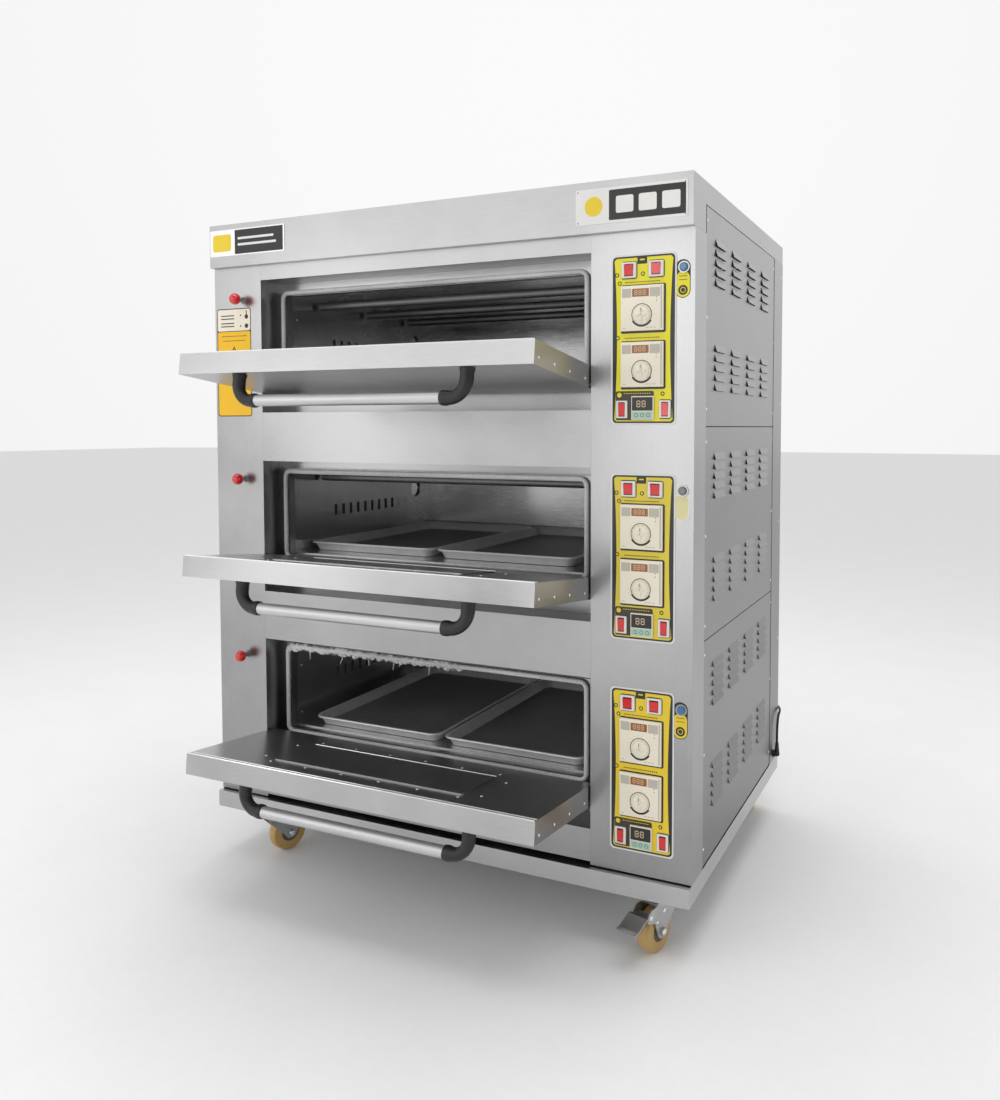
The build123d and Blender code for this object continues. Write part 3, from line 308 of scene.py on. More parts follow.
# ---- shapes ----
class Shape:
    """One piece's mesh, gathered from several simple forms."""

    def __init__(self):
        self.mesh = bmesh.new()

    def box(self, low, high, bevel=0.0, turn=None):
        size = Vector(high) - Vector(low)
        middle = (Vector(high) + Vector(low)) / 2
        place = Matrix.Translation(middle) @ Matrix.Diagonal((*size, 1))
        made = bmesh.ops.create_cube(self.mesh, size=1.0, matrix=place)
        if bevel:
            edges = {edge for vert in made["verts"] for edge in vert.link_edges}
            made = bmesh.ops.bevel(
                self.mesh, geom=list(edges), offset=bevel, segments=3, affect="EDGES", profile=0.5
            )
        if turn:
            bmesh.ops.transform(self.mesh, matrix=turn, verts=list(set(made["verts"])))

    def rings(self, loops, closed=False, caps=True):
        """Skins a list of loops that have the same number of points."""
        rows = [[self.mesh.verts.new(point) for point in loop] for loop in loops]
        pairs = list(zip(rows, rows[1:])) + ([(rows[-1], rows[0])] if closed else [])
        for first, second in pairs:
            count = len(first)
            for index in range(count):
                after = (index + 1) % count
                self.mesh.faces.new((first[index], first[after], second[after], second[index]))
        if caps and not closed:
            self.mesh.faces.new(list(reversed(rows[0])))
            self.mesh.faces.new(rows[-1])

    def tube(self, points, radii, sides=16, closed=False):
        """A round tube along points, with one radius for each point or one for all."""
        points = [Vector(point) for point in points]
        if not isinstance(radii, (list, tuple)):
            radii = [radii] * len(points)
        count = len(points)
        loops = []
        side = None
        for index, point in enumerate(points):
            before = points[index - 1] if index or closed else point
            after = points[(index + 1) % count] if index < count - 1 or closed else point
            ahead = (after - before).normalized()
            if side is None:
                side = ahead.orthogonal().normalized()
            side = (side - ahead * side.dot(ahead)).normalized()
            other = ahead.cross(side)
            loops.append(
                [
                    point + radii[index] * (side * math.cos(turn) + other * math.sin(turn))
                    for turn in (2 * math.pi * step / sides for step in range(sides))
                ]
            )
        self.rings(loops, closed)

    def lathe(self, origin, axis, profile, sides=32):
        """A turned form: profile holds (distance along the axis, radius)."""
        origin, axis = Vector(origin), Vector(axis).normalized()
        self.tube([origin + axis * along for along, _ in profile], [r for _, r in profile], sides)

    def dome(self, place, normal, radius, height):
        """A small domed rivet or screw head."""
        steps = ((0.0, 1.0), (0.45, 0.93), (0.8, 0.66), (1.0, 0.25))
        self.lathe(place, normal, [(height * a, radius * r) for a, r in steps], 12)

    def blob(self, place, radius):
        """A small uneven lump of fibre."""
        made = bmesh.ops.create_icosphere(self.mesh, subdivisions=2, radius=radius)
        for vert in made["verts"]:
            vert.co = Vector(place) + vert.co * chance.uniform(0.72, 1.15)

    def sheet(self, outline, thickness, plane):
        """A flat piece with an outline in a plane's own x and y, raised along its z."""
        loops = [[plane @ Vector((x, y, z)) for x, y in outline] for z in (0.0, thickness)]
        self.rings(loops)

    def piece(self, name, material, body="cabinet", slot=None, smooth=True):
        bmesh.ops.remove_doubles(self.mesh, verts=self.mesh.verts, dist=1e-7)
        bmesh.ops.recalc_face_normals(self.mesh, faces=self.mesh.faces)
        data = bpy.data.meshes.new(name)
        self.mesh.to_mesh(data)
        self.mesh.free()
        made = bpy.data.objects.new(name, data)
        bpy.context.scene.collection.objects.link(made)
        if smooth:
            data.shade_smooth()
            data.set_sharp_from_angle(angle=math.radians(38))
        paint(made, M[material])
        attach(made, body)
        return made


def plane_at(origin, along, up):
    """A plane's own axes as a matrix: x along, y up and z towards the viewer."""
    along, up = Vector(along).normalized(), Vector(up).normalized()
    turn = Matrix((along, up, along.cross(up))).transposed()
    return Matrix.Translation(Vector(origin)) @ turn.to_4x4()


def rounded(low_x, low_y, high_x, high_y, radius, steps=6):
    """The outline of a rounded rectangle."""
    corners = (
        (high_x - radius, low_y + radius, -90),
        (high_x - radius, high_y - radius, 0),
        (low_x + radius, high_y - radius, 90),
        (low_x + radius, low_y + radius, 180),
    )
    return [
        (x + radius * math.cos(math.radians(start + 90 * s / steps)),
         y + radius * math.sin(math.radians(start + 90 * s / steps)))
        for x, y, start in corners
        for s in range(steps + 1)
    ]


def disc(x, y, radius, sides=28):
    return [
        (x + radius * math.cos(2 * math.pi * s / sides), y + radius * math.sin(2 * math.pi * s / sides))
        for s in range(sides)
    ]


def arc_band(x, y, inner, outer, start, end, steps=24):
    """The outline of part of a flat ring."""
    turns = [math.radians(start + (end - start) * s / steps) for s in range(steps + 1)]
    out = [(x + outer * math.cos(t), y + outer * math.sin(t)) for t in turns]
    back = [(x + inner * math.cos(t), y + inner * math.sin(t)) for t in reversed(turns)]
    return out + back


# ---- doors: rivets, edge screws, hems and handles ----
def door_matrix(deck):
    """The door's own axes: x along the oven, y to its free edge and z out of its outer face."""
    tilt = TILTS[deck]
    free = Vector((0, -math.cos(tilt), math.sin(tilt)))
    out = Vector((0, -math.sin(tilt), -math.cos(tilt)))
    turn = Matrix((Vector((1, 0, 0)), free, out)).transposed()
    return Matrix.Translation(HINGES[deck]) @ turn.to_4x4()


def dress_door(deck):
    body = f"door_{deck}"
    matrix = door_matrix(deck)
    inner = -0.041
    panel_x, panel_low = 0.258, 0.067
    half = 0.465

    def at(x, free, out):
        return matrix @ Vector((x, free, out))

    inward = (matrix.to_3x3() @ Vector((0, 0, -1))).normalized()
    heads = Shape()
    for step in range(-3, 3):
        for free in (0.042, 0.230):
            heads.dome(at(0.102 * (step + 0.5), free, inner), inward, 0.0036, 0.0014)
    for side in (-1, 1):
        for free in (0.090, 0.200):
            heads.dome(at(side * 0.296, free, inner), inward, 0.0036, 0.0014)
        for free in (0.035, 0.115, 0.190, 0.262):
            heads.dome(at(side * half, free, -0.008), Vector((side, 0, 0)), 0.0032, 0.0012)
    heads.piece(f"{body}_rivets", "bright", body, "brushed_stainless")

    # bright edge of the raised inner panel, and the hem along the free edge
    trim = Shape()
    trim.tube([at(side * panel_x, panel_low, inner - 0.0026) for side in (-1, 1)], 0.0013, 8)
    for free, radius in ((0.2815, 0.0018), (0.270, 0.0010)):
        ends = [at(end * (half - 0.002), free, inner - 0.0004) for end in (-1, 1)]
        trim.tube(ends, radius, 8)
    trim.piece(f"{body}_trim", "bright", body, "brushed_stainless")

    reach, tube_out, tube_half, bend = 0.257, 0.068, 0.262, 0.038
    tube = Shape()
    tube.tube([at(-tube_half, reach, tube_out), at(tube_half, reach, tube_out)], 0.0134, 40)
    bar = tube.piece(f"{body}_handle_tube", "satin", body, "satin_tube")
    elbows = Shape()
    screws = Shape()
    for side in (-1, 1):
        points, radii = [], []
        start = tube_half - 0.016
        for along, radius in ((0.0, 0.0156), (0.003, 0.0164), (0.012, 0.0164), (0.016, 0.0150)):
            points.append(at(side * (start + along), reach, tube_out))
            radii.append(radius)
        centre_x, centre_out = tube_half + 0.002, tube_out - bend
        for step in range(1, 15):
            turn = math.radians(90 * step / 14)
            points.append(
                at(side * (centre_x + bend * math.sin(turn)), reach, centre_out + bend * math.cos(turn))
            )
            radii.append(0.0148 - 0.0012 * math.sin(turn * 2))
        for out, radius in ((0.018, 0.0146), (0.0125, 0.0158), (0.0095, 0.0164), (0.0083, 0.0164)):
            points.append(at(side * (centre_x + bend), reach, out))
            radii.append(radius)
        elbows.tube(points, radii, 28)
        screws.dome(at(side * (centre_x + bend * 0.72), reach - 0.0145, centre_out + bend * 0.69),
                    (matrix.to_3x3() @ Vector((0, -1, 0))), 0.0036, 0.0012)
    brackets = elbows.piece(f"{body}_handle_brackets", "black", body, "black_plastic")
    screws.piece(f"{body}_handle_screws", "chrome", body, "satin_tube")
    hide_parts(f"door_handle_{deck}")
    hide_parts(f"door_handle_{deck}")


# ---- rope gaskets ----
def gasket_path(deck, step=0.004):
    """Evenly spaced points round a chamber's mouth, along the middle of its rope, as x and z."""
    margin = 0.007
    low_x, high_x = OPENING_LEFT + MOUTH_LEFT - margin, OPENING_RIGHT - MOUTH_RIGHT + margin
    low_z, high_z = OPENING_Z[deck] + MOUTH_LOW - margin, OPENING_Z[deck] + MOUTH_HIGH + margin
    outline = rounded(low_x, low_z, high_x, high_z, 0.017, 5)
    points = []
    for (x0, z0), (x1, z1) in zip(outline, outline[1:] + outline[:1]):
        length = math.hypot(x1 - x0, z1 - z0)
        for part in range(max(1, round(length / step))):
            share = part / max(1, round(length / step))
            points.append((x0 + (x1 - x0) * share, z0 + (z1 - z0) * share))
    return points


def make_gaskets():
    """Lumpy fibre ropes, the lower deck's badly frayed along the left of its top edge."""
    middle_y = FRONT + 0.0556
    front_limit = FRONT + 0.0496
    rope = Shape()
    fibres = Shape()
    for deck in DECKS:
        points = gasket_path(deck)
        path = [(x, middle_y, z) for x, z in points]
        worn = [
            1.0 if deck == "lower" and z > OPENING_Z[deck] + 0.300 and x < MIDDLE_X + 0.10 else 0.25
            for x, z in points
        ]
        radii = [0.0060 - chance.uniform(0, 0.0003) - wear * chance.uniform(0.0, 0.0012) for wear in worn]
        rope.tube(path, radii, 10, closed=True)
        for (x, z), wear in zip(points, worn):
            if chance.random() < 0.12 + wear * 0.85:
                fall = (wear - 0.2) * chance.uniform(-0.005, 0.010)
                rope.blob((x, middle_y + 0.001, z - fall), chance.uniform(0.0048, 0.0052 + 0.0030 * wear))
            for _ in range(5 if wear > 0.5 else 1):
                turn = chance.uniform(0, 2 * math.pi)
                root = Vector((x, middle_y, z)) + 0.0045 * Vector((math.cos(turn), 0, math.sin(turn)))
                length = chance.uniform(0.002, 0.004) + max(0, wear - 0.25) * chance.uniform(0.0, 0.008)
                sideways, forwards = chance.uniform(-0.8, 0.8), chance.uniform(-0.4, 0.4)
                away = Vector((math.cos(turn) + sideways, forwards, math.sin(turn)))
                bend = root + away * length * 0.5
                tip = bend + Vector((chance.uniform(-0.4, 0.4), 0, -0.5)) * length
                fibres.tube([root, bend, tip], [0.0008, 0.0007, 0.0003], 3)
    # loose ends that hang from the worn stretch
    for share in (0.12, 0.31, 0.47, 0.62, 0.66, 0.83):
        x = OPENING_LEFT + 0.04 + share * (MIDDLE_X + 0.10 - OPENING_LEFT - 0.04)
        z = OPENING_Z["lower"] + 0.310
        end = [Vector((x, middle_y, z))]
        for _ in range(chance.randint(3, 6)):
            step = (chance.uniform(-0.003, 0.003), chance.uniform(-0.001, 0.001), -0.0045)
            end.append(end[-1] + Vector(step))
        fibres.tube(end, [0.0016 - 0.0002 * part for part in range(len(end))], 5)
    for shape in (rope, fibres):
        for vert in shape.mesh.verts:
            vert.co.y = max(vert.co.y, front_limit)
    made = rope.piece("gasket_rope", "rope", "cabinet", "fibre_rope")
    fibres.piece("gasket_fibres", "rope", "cabinet", "fibre_rope")
    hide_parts("door_gaskets")


# ---- baking trays ----
def make_tray(name):
    low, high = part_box(name)
    low, high = Vector(low), Vector(high)
    middle = (low + high) / 2
    half_x, half_y = (high.x - low.x) / 2, (high.y - low.y) / 2
    height = high.z - low.z

    def loop(inset, corner, z):
        outline = rounded(-half_x + inset, -half_y + inset, half_x - inset, half_y - inset, corner, 8)
        return [(middle.x + x, middle.y + y, low.z + z) for x, y in outline]

    rim = Shape()
    rim.rings(
        [
            loop(0.0195, 0.021, 0.0012),
            loop(0.0180, 0.022, 0.0030),
            loop(0.0105, 0.027, height - 0.0028),
            loop(0.0080, 0.028, height - 0.0010),
            loop(0.0050, 0.030, height - 0.0002),
            loop(0.0018, 0.031, height - 0.0008),
            loop(0.0003, 0.032, height - 0.0030),
            loop(0.0012, 0.031, height - 0.0052),
            loop(0.0040, 0.030, height - 0.0056),
            loop(0.0072, 0.028, height - 0.0040),
            loop(0.0168, 0.021, 0.0010),
            loop(0.0190, 0.020, 0.0002),
        ],
        closed=False,
        caps=False,
    )
    rim.piece(f"{name}_wall", "tray_rim", name, "tray_aluminium")
    floor = Shape()
    floor.rings([loop(0.0192, 0.021, 0.0001), loop(0.0192, 0.021, 0.0013)])
    base = floor.piece(f"{name}_floor", "tray_floor", name, "tray_aluminium")
    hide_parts(name)


# ---- control plates ----
PLATE_LEFT = LEFT + 1.142
PLATE_BELOW = -0.032
CONTROLLER_HEIGHTS = (0.081, 0.201)
DIGIT_BARS = (
    (0.15, 0.0, 0.85, 0.12), (0.15, 0.44, 0.85, 0.56), (0.15, 0.88, 0.85, 1.0),
    (0.0, 0.06, 0.16, 0.46), (0.84, 0.06, 1.0, 0.46), (0.0, 0.54, 0.16, 0.94), (0.84, 0.54, 1.0, 0.94),
)


def add_digits(shape, plane, x, y, width, height, count, depth):
    for place in range(count):
        start = x + place * width * 1.4
        for low_x, low_y, high_x, high_y in DIGIT_BARS:
            left, right = start + low_x * width, start + high_x * width
            bar = rounded(left, y + low_y * height, right, y + high_y * height, 0.0003, 1)
            shape.sheet(bar, depth, plane)


def print_plate(deck):
    """A plate's printed border, coloured field and marks, as thin layers on the plate."""
    z = OPENING_Z[deck] + PLATE_BELOW

    def plane(level):
        return plane_at((PLATE_LEFT, FRONT - 0.0012 - PRINT * level, z), (1, 0, 0), (0, 0, 1))

    border = Shape()
    border.sheet(rounded(0.0035, 0.0035, 0.1445, 0.3605, 0.009), PRINT, plane(0))
    border.piece(f"plate_{deck}_border", "ink", slot="printed_yellow", smooth=False)
    steps = 14
    bow = 0.0062
    right_side = [
        (0.1405 - bow * math.sin(math.pi * s / steps) ** 0.8, 0.012 + 0.340 * s / steps)
        for s in range(steps + 1)
    ]
    left_side = [(0.148 - x, y) for x, y in reversed(right_side)]
    top = [(0.1355, 0.3568), (0.0125, 0.3568)]
    bottom = [(0.0125, 0.0072), (0.1355, 0.0072)]
    field = Shape()
    field.sheet(right_side + top + left_side + bottom, PRINT, plane(1))
    field.piece(f"plate_{deck}_field", f"yellow_{deck}", slot="printed_yellow", smooth=False)

    marks = Shape()
    for height in CONTROLLER_HEIGHTS:
        marks.sheet(rounded(0.0225, height - 0.005, 0.1245, height + 0.099, 0.004), PRINT, plane(2))
    frames = ((0.0415, 0.331, 0.037, 0.038), (0.103, 0.331, 0.037, 0.038), (0.124, 0.033, 0.029, 0.042))
    for x, y, w, h in frames:
        marks.sheet(rounded(x - w / 2, y - h / 2, x + w / 2, y + h / 2, 0.005), PRINT, plane(2))
    for x, y in ((0.0135, 0.322), (0.0725, 0.322), (0.0196, 0.304), (0.0155, 0.187), (0.118, 0.066)):
        marks.sheet(disc(x, y, 0.0047), PRINT, plane(2))
    for y in (0.305, 0.186):
        for dash in range(17):
            low, high = 0.032 + 0.0047 * dash, 0.0352 + 0.0047 * dash
            marks.sheet(rounded(low, y - 0.0011, high, y + 0.0011, 0.0004, 1), PRINT, plane(2))
    marks.sheet(rounded(0.0600, 0.3430, 0.0820, 0.3600, 0.002), PRINT, plane(2))
    marks.piece(f"plate_{deck}_marks", "ink", slot="printed_yellow", smooth=False)
    band = Shape()
    band.sheet(rounded(0.0110, 0.0095, 0.0985, 0.0725, 0.004), PRINT, plane(2))
    band.piece(f"plate_{deck}_band", "brown", slot="printed_yellow", smooth=False)
    dots = Shape()
    for x, y, r in ((0.0135, 0.322, 0.0026), (0.0725, 0.322, 0.0026), (0.0196, 0.304, 0.0026),
                    (0.0155, 0.187, 0.0026), (0.0194, 0.0640, 0.0052), (0.118, 0.066, 0.0024)):
        dots.sheet(disc(x, y, r), PRINT, plane(3))
    dots.sheet(rounded(0.0655, 0.3505, 0.0765, 0.3535, 0.001, 2), PRINT, plane(3))
    for dash in range(12):
        low, high = 0.0300 + 0.0052 * dash, 0.0332 + 0.0052 * dash
        dots.sheet(rounded(low, 0.0665, high, 0.0680, 0.0004, 1), PRINT, plane(3))
    dots.piece(f"plate_{deck}_dots", f"yellow_{deck}", slot="printed_yellow", smooth=False)


def dress_controllers(deck):
    """Bezels, displays and scales of both temperature controllers, the timer and the switch frames."""
    z = OPENING_Z[deck] + PLATE_BELOW
    face_y = FRONT - 0.0074
    middle_x = 0.0725
    bezels, shade, displays, digits, marks, whites = (Shape() for _ in range(6))
    keys = Shape()

    def plane(level):
        return plane_at((PLATE_LEFT, face_y - 0.0003 - PRINT * level, z), (1, 0, 0), (0, 0, 1))

    for height in CONTROLLER_HEIGHTS:
        x0 = middle_x - 0.048
        bezels.box((PLATE_LEFT + x0 - 0.0003, face_y - 0.0003, z + height - 0.0003),
                   (PLATE_LEFT + x0 + 0.0963, face_y + 0.0058, z + height + 0.0963), 0.0016)
        for left, low, right, high in (
            (0.003, 0.071, 0.024, 0.090), (0.066, 0.071, 0.089, 0.090), (0.0905, 0.003, 0.0935, 0.093)
        ):
            outline = rounded(x0 + left, height + low, x0 + right, height + high, 0.001, 2)
            shade.sheet(outline, PRINT, plane(1))
        window = rounded(x0 + 0.026, height + 0.072, x0 + 0.064, height + 0.089, 0.0015, 3)
        displays.sheet(window, FILM, plane(1))
        add_digits(digits, plane(3), x0 + 0.0315, height + 0.0755, 0.0066, 0.0105, 3, PRINT)
        dial_x, dial_y = middle_x, height + 0.034
        marks.sheet(arc_band(dial_x, dial_y, 0.0218, 0.0234, -30, 210), PRINT, plane(1))
        marks.sheet(arc_band(dial_x, dial_y, 0.0218, 0.0262, 211, 329), PRINT, plane(1))
        for tick in range(12):
            turn = math.radians(-20 + 20 * tick)
            marks.sheet(disc(dial_x + 0.0285 * math.cos(turn), dial_y + 0.0285 * math.sin(turn), 0.0005, 8),
                        PRINT, plane(1))
        for dot in (0.062, 0.069):
            marks.sheet(disc(x0 + 0.081, height + dot, 0.0011, 12), PRINT, plane(1))
        for low in (0.005, 0.058, 0.066, 0.074):
            dash = rounded(x0 + low, height + 0.005, x0 + low + 0.006, height + 0.0065, 0.0004, 1)
            shade.sheet(dash, PRINT, plane(1))
    timer_x = 0.0745
    bezels.box((PLATE_LEFT + timer_x - 0.0253, face_y - 0.0003, z + 0.0107),
               (PLATE_LEFT + timer_x + 0.0253, face_y + 0.0058, z + 0.0613), 0.0012)
    keys.sheet(rounded(timer_x - 0.0235, 0.0125, timer_x + 0.0235, 0.0285, 0.001, 2), PRINT, plane(1))
    displays_dark = Shape()
    window = rounded(timer_x - 0.0235, 0.0300, timer_x + 0.0235, 0.0590, 0.001, 2)
    displays_dark.sheet(window, PRINT, plane(1))
    add_digits(digits, plane(2), timer_x - 0.013, 0.0375, 0.0085, 0.0140, 2, PRINT)
    for step in (-1, 0, 1):
        ring = arc_band(timer_x + 0.0135 * step, 0.0205, 0.0033, 0.0043, 0, 359)
        displays_dark.sheet(ring, PRINT, plane(2))
    # switch frames
    for x, y, w, h, cap_w, cap_h in (
        (0.0415, 0.331, 0.033, 0.033, 0.0214, 0.0262),
        (0.103, 0.331, 0.033, 0.033, 0.0214, 0.0262),
        (0.026, 0.033, 0.025, 0.037, 0.0154, 0.0312),
        (0.124, 0.033, 0.025, 0.037, 0.0154, 0.0312),
    ):
        near, far = FRONT - 0.0060, FRONT - 0.00145

        def frame_edge(half_w, half_h, radius):
            return rounded(x - half_w, y - half_h, x + half_w, y + half_h, radius)

        outer = frame_edge(w / 2 + 0.0003, h / 2 + 0.0003, 0.003)
        rim = frame_edge(w / 2 - 0.0012, h / 2 - 0.0012, 0.002)
        hole = frame_edge(cap_w / 2, cap_h / 2, 0.001)
        loops = [
            [(PLATE_LEFT + px, depth, z + py) for px, py in points]
            for points, depth in (
                (outer, far), (outer, near + 0.0012), (rim, near), (hole, near), (hole, far)
            )
        ]
        whites.rings(loops, closed=True)
    bezels.piece(f"controls_{deck}_bezels", "cream", slot="cream_plastic")
    shade.piece(f"controls_{deck}_print", "cream_shade", slot="cream_plastic", smooth=False)
    displays.piece(f"controls_{deck}_displays", "amber", slot="black_plastic", smooth=False)
    displays_dark.piece(f"controls_{deck}_timer_display", "ink", slot="black_plastic", smooth=False)
    digits.piece(f"controls_{deck}_digits", "digit", slot="cream_plastic", smooth=False)
    marks.piece(f"controls_{deck}_scales", "ink", slot="black_plastic", smooth=False)
    keys.piece(f"controls_{deck}_keys", "green", slot="cream_plastic", smooth=False)
    whites.piece(f"controls_{deck}_switch_frames", "white", slot="cream_plastic")


def make_dial(name):
    """A turned dial with a fluted skirt, a ridge to grip, ticks and a pointer mark."""
    joint = JOINTS[f"{name}_turn"]
    origin = Vector(joint["pos_m"])
    back = origin.y - 0.00035
    skirt = []
    flutes = 72
    profile = ((0.0, 0.0205), (0.0012, 0.0208), (0.0024, 0.0204), (0.0030, 0.0178), (0.0032, 0.0165),
               (0.0046, 0.0150), (0.0050, 0.0140), (0.0049, 0.0040))
    for along, radius in profile:
        loop = []
        for step in range(flutes * 2):
            turn = math.pi * step / flutes
            cut = 0.0005 if step % 2 and along <= 0.0024 else 0.0
            loop.append((origin.x + (radius - cut) * math.cos(turn), back - along,
                         origin.z + (radius - cut) * math.sin(turn)))
        skirt.append(loop)
    knob = Shape()
    knob.rings(skirt)
    for width, height in ((0.0026, 0.0138), (0.0110, 0.0024)):
        low = (origin.x - width, back - 0.0080, origin.z - height)
        knob.box(low, (origin.x + width, back - 0.0040, origin.z + height), 0.0012)
    made = knob.piece(f"{name}_knob", "cream", name, "cream_plastic")
    face = plane_at((origin.x, back - 0.0032, origin.z), (1, 0, 0), (0, 0, 1))
    pointer = Shape()
    for tick in range(28):
        turn = math.radians(-45 + 10 * tick)
        along = Vector((math.cos(turn), math.sin(turn)))
        across = Vector((-along.y, along.x)) * 0.00025
        near, far = along * 0.0172, along * (0.0196 if tick % 3 == 0 else 0.0186)
        corners = (near - across, far - across, far + across, near + across)
        pointer.sheet([tuple(corner) for corner in corners], 0.0001, face)
    low = (origin.x - 0.0006, back - 0.0082, origin.z + 0.005)
    pointer.box(low, (origin.x + 0.0006, back - 0.0078, origin.z + 0.0132), 0.0001)
    pointer.piece(f"{name}_pointer", "ink", name, "black_plastic")
    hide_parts(name)


def make_label(deck):
    """The capsule label round a push button, in plain shapes."""
    x = LEFT + 1.3035
    z = OPENING_Z[deck] + 0.298
    faded = deck == "middle"

    def plane(step):
        return plane_at((x, FRONT - FILM * step, z), (1, 0, 0), (0, 0, 1))

    outer = Shape()
    outer.sheet(rounded(-0.0165, -0.0640, 0.0165, 0.0165, 0.0164, 8), FILM, plane(0.5))
    outer.piece(f"label_{deck}_edge", "white" if faded else "ink", slot="printed_yellow", smooth=False)
    inner = Shape()
    inner.sheet(rounded(-0.0148, -0.0622, 0.0148, -0.0085, 0.0147 if faded else 0.0140, 8), FILM, plane(1.5))
    colour = "faded" if faded else f"yellow_{deck}"
    inner.piece(f"label_{deck}_field", colour, slot="printed_yellow", smooth=False)
    mark = Shape()
    mark.sheet(disc(0.0, -0.0475, 0.0105), FILM, plane(2.5))
    for row in (-0.0185, -0.0260):
        mark.sheet(rounded(-0.0095, row - 0.0006, 0.0095, row + 0.0006, 0.0004, 1), FILM, plane(2.5))
    mark.piece(f"label_{deck}_mark", "faded" if faded else "ink", slot="printed_yellow", smooth=False)
    if not faded:
        ring = Shape()
        ring.sheet(arc_band(0.0, -0.0475, 0.0046, 0.0062, 0, 359), FILM, plane(3.5))
        ring.piece(f"label_{deck}_ring", "yellow_lower", slot="printed_yellow", smooth=False)


# ---- badges and stickers, as plain shapes ----
def make_badges():
    deep = 0.0012
    left = plane_at((LEFT + 0.003, HEADER_Y, ROOF_Z - 0.082), (1, 0, 0), (0, 0, 1))
    right = plane_at((RIGHT - 0.266, HEADER_Y, ROOF_Z - 0.092), (1, 0, 0), (0, 0, 1))

    def raised(plane, by):
        return plane @ Matrix.Translation((0, 0, by))

    plates = Shape()
    plates.sheet(rounded(0.0, 0.0, 0.250, 0.068, 0.002, 3), deep, left)
    plates.piece("badge_left_plate", "bright", slot="brushed_stainless", smooth=False)
    right_plate = Shape()
    right_plate.sheet(rounded(0.0, 0.0, 0.254, 0.076, 0.003, 3), deep, right)
    right_plate.piece("badge_right_plate", "white", slot="printed_yellow", smooth=False)
    dark = Shape()
    dark.sheet(rounded(0.085, 0.003, 0.245, 0.065, 0.001, 2), 0.0002, raised(left, deep))
    dark.sheet(rounded(0.078, 0.006, 0.250, 0.070, 0.003, 3), 0.0002, raised(right, deep))
    dark.piece("badge_dark_fields", "ink", slot="black_plastic", smooth=False)
    yellow = Shape()
    yellow.sheet(rounded(0.010, 0.012, 0.072, 0.056, 0.006, 3), 0.0002, raised(left, deep))
    yellow.sheet(disc(0.042, 0.038, 0.021), 0.0002, raised(right, deep))
    yellow.piece("badge_yellow_marks", "yellow_lower", slot="printed_yellow", smooth=False)
    pale = Shape()
    for low, high in ((0.040, 0.046), (0.024, 0.030)):
        bar = rounded(0.095, low, 0.215 - (high - 0.046) * 0.5, high, 0.002, 2)
        pale.sheet(bar, 0.0001, raised(left, deep + 0.0002))
    for start in (0.094, 0.146, 0.198):
        block = rounded(start, 0.020, start + 0.040, 0.056, 0.004, 3)
        pale.sheet(block, 0.0001, raised(right, deep + 0.0002))
    pale.piece("badge_pale_marks", "white", slot="printed_yellow", smooth=False)
    rivets = Shape()
    for x, y in ((0.005, 0.005), (0.249, 0.005), (0.005, 0.071), (0.249, 0.071)):
        rivets.dome(raised(right, deep) @ Vector((x, y, 0)), (0, -1, 0), 0.0016, 0.0007)
    rivets.piece("badge_rivets", "burner", slot="brushed_stainless")


def make_sticker():
    """The tall panel on the left column: plain fields, dashes and a triangle, without any words."""
    low = ROOF_Z - 0.502
    plane = plane_at((LEFT + 0.006, FRONT, low), (1, 0, 0), (0, 0, 1))

    def layer(step):
        return plane @ Matrix.Translation((0, 0, FILM * step))

    height, width, split = 0.285, 0.117, 0.224
    edge = Shape()
    edge.sheet(rounded(0.0, 0.0, width, height, 0.007), FILM, layer(0.5))
    edge.piece("sticker_edge", "ink", slot="printed_yellow", smooth=False)
    lower = Shape()
    lower.sheet(rounded(0.0025, 0.0025, width - 0.0025, split, 0.005), FILM, layer(1.5))
    lower.piece("sticker_lower", "sticker", slot="printed_yellow", smooth=False)
    upper = Shape()
    upper.sheet(rounded(0.0025, split + 0.002, width - 0.0025, height - 0.0025, 0.005), FILM, layer(1.5))
    upper.piece("sticker_upper", "cream", slot="printed_yellow", smooth=False)
    marks = Shape()
    middle = width / 2
    marks.sheet([(middle - 0.020, 0.150), (middle + 0.020, 0.150), (middle, 0.186)], FILM, layer(2.5))
    for row, reach in ((0.212, 0.046), (0.200, 0.040), (0.120, 0.046), (0.110, 0.044), (0.100, 0.046)):
        for dash in range(int(reach / 0.0055)):
            for side in (-1, 1):
                x = middle + side * 0.0055 * (dash + 0.5)
                outline = rounded(x - 0.0018, row - 0.0011, x + 0.0018, row + 0.0011, 0.0004, 1)
                marks.sheet(outline, FILM, layer(2.5))
    for x, y, r in (
        (0.102, 0.262, 0.006), (0.102, 0.238, 0.006), (0.082, 0.266, 0.0022), (0.082, 0.238, 0.0022)
    ):
        marks.sheet(disc(x, y, r), FILM, layer(2.5))
    marks.sheet(rounded(0.1005, 0.262, 0.1035, 0.278, 0.001, 2), FILM, layer(2.5))
    for row in (0.266, 0.258, 0.246, 0.238):
        marks.sheet(rounded(0.014, row - 0.0014, 0.060, row + 0.0014, 0.0006, 1), FILM, layer(2.5))
    marks.piece("sticker_marks", "ink", slot="printed_yellow", smooth=False)
    inner = Shape()
    inner.sheet([(middle - 0.014, 0.1535), (middle + 0.014, 0.1535), (middle, 0.1790)], FILM, layer(3.5))
    inner.piece("sticker_triangle", "sticker", slot="printed_yellow", smooth=False)


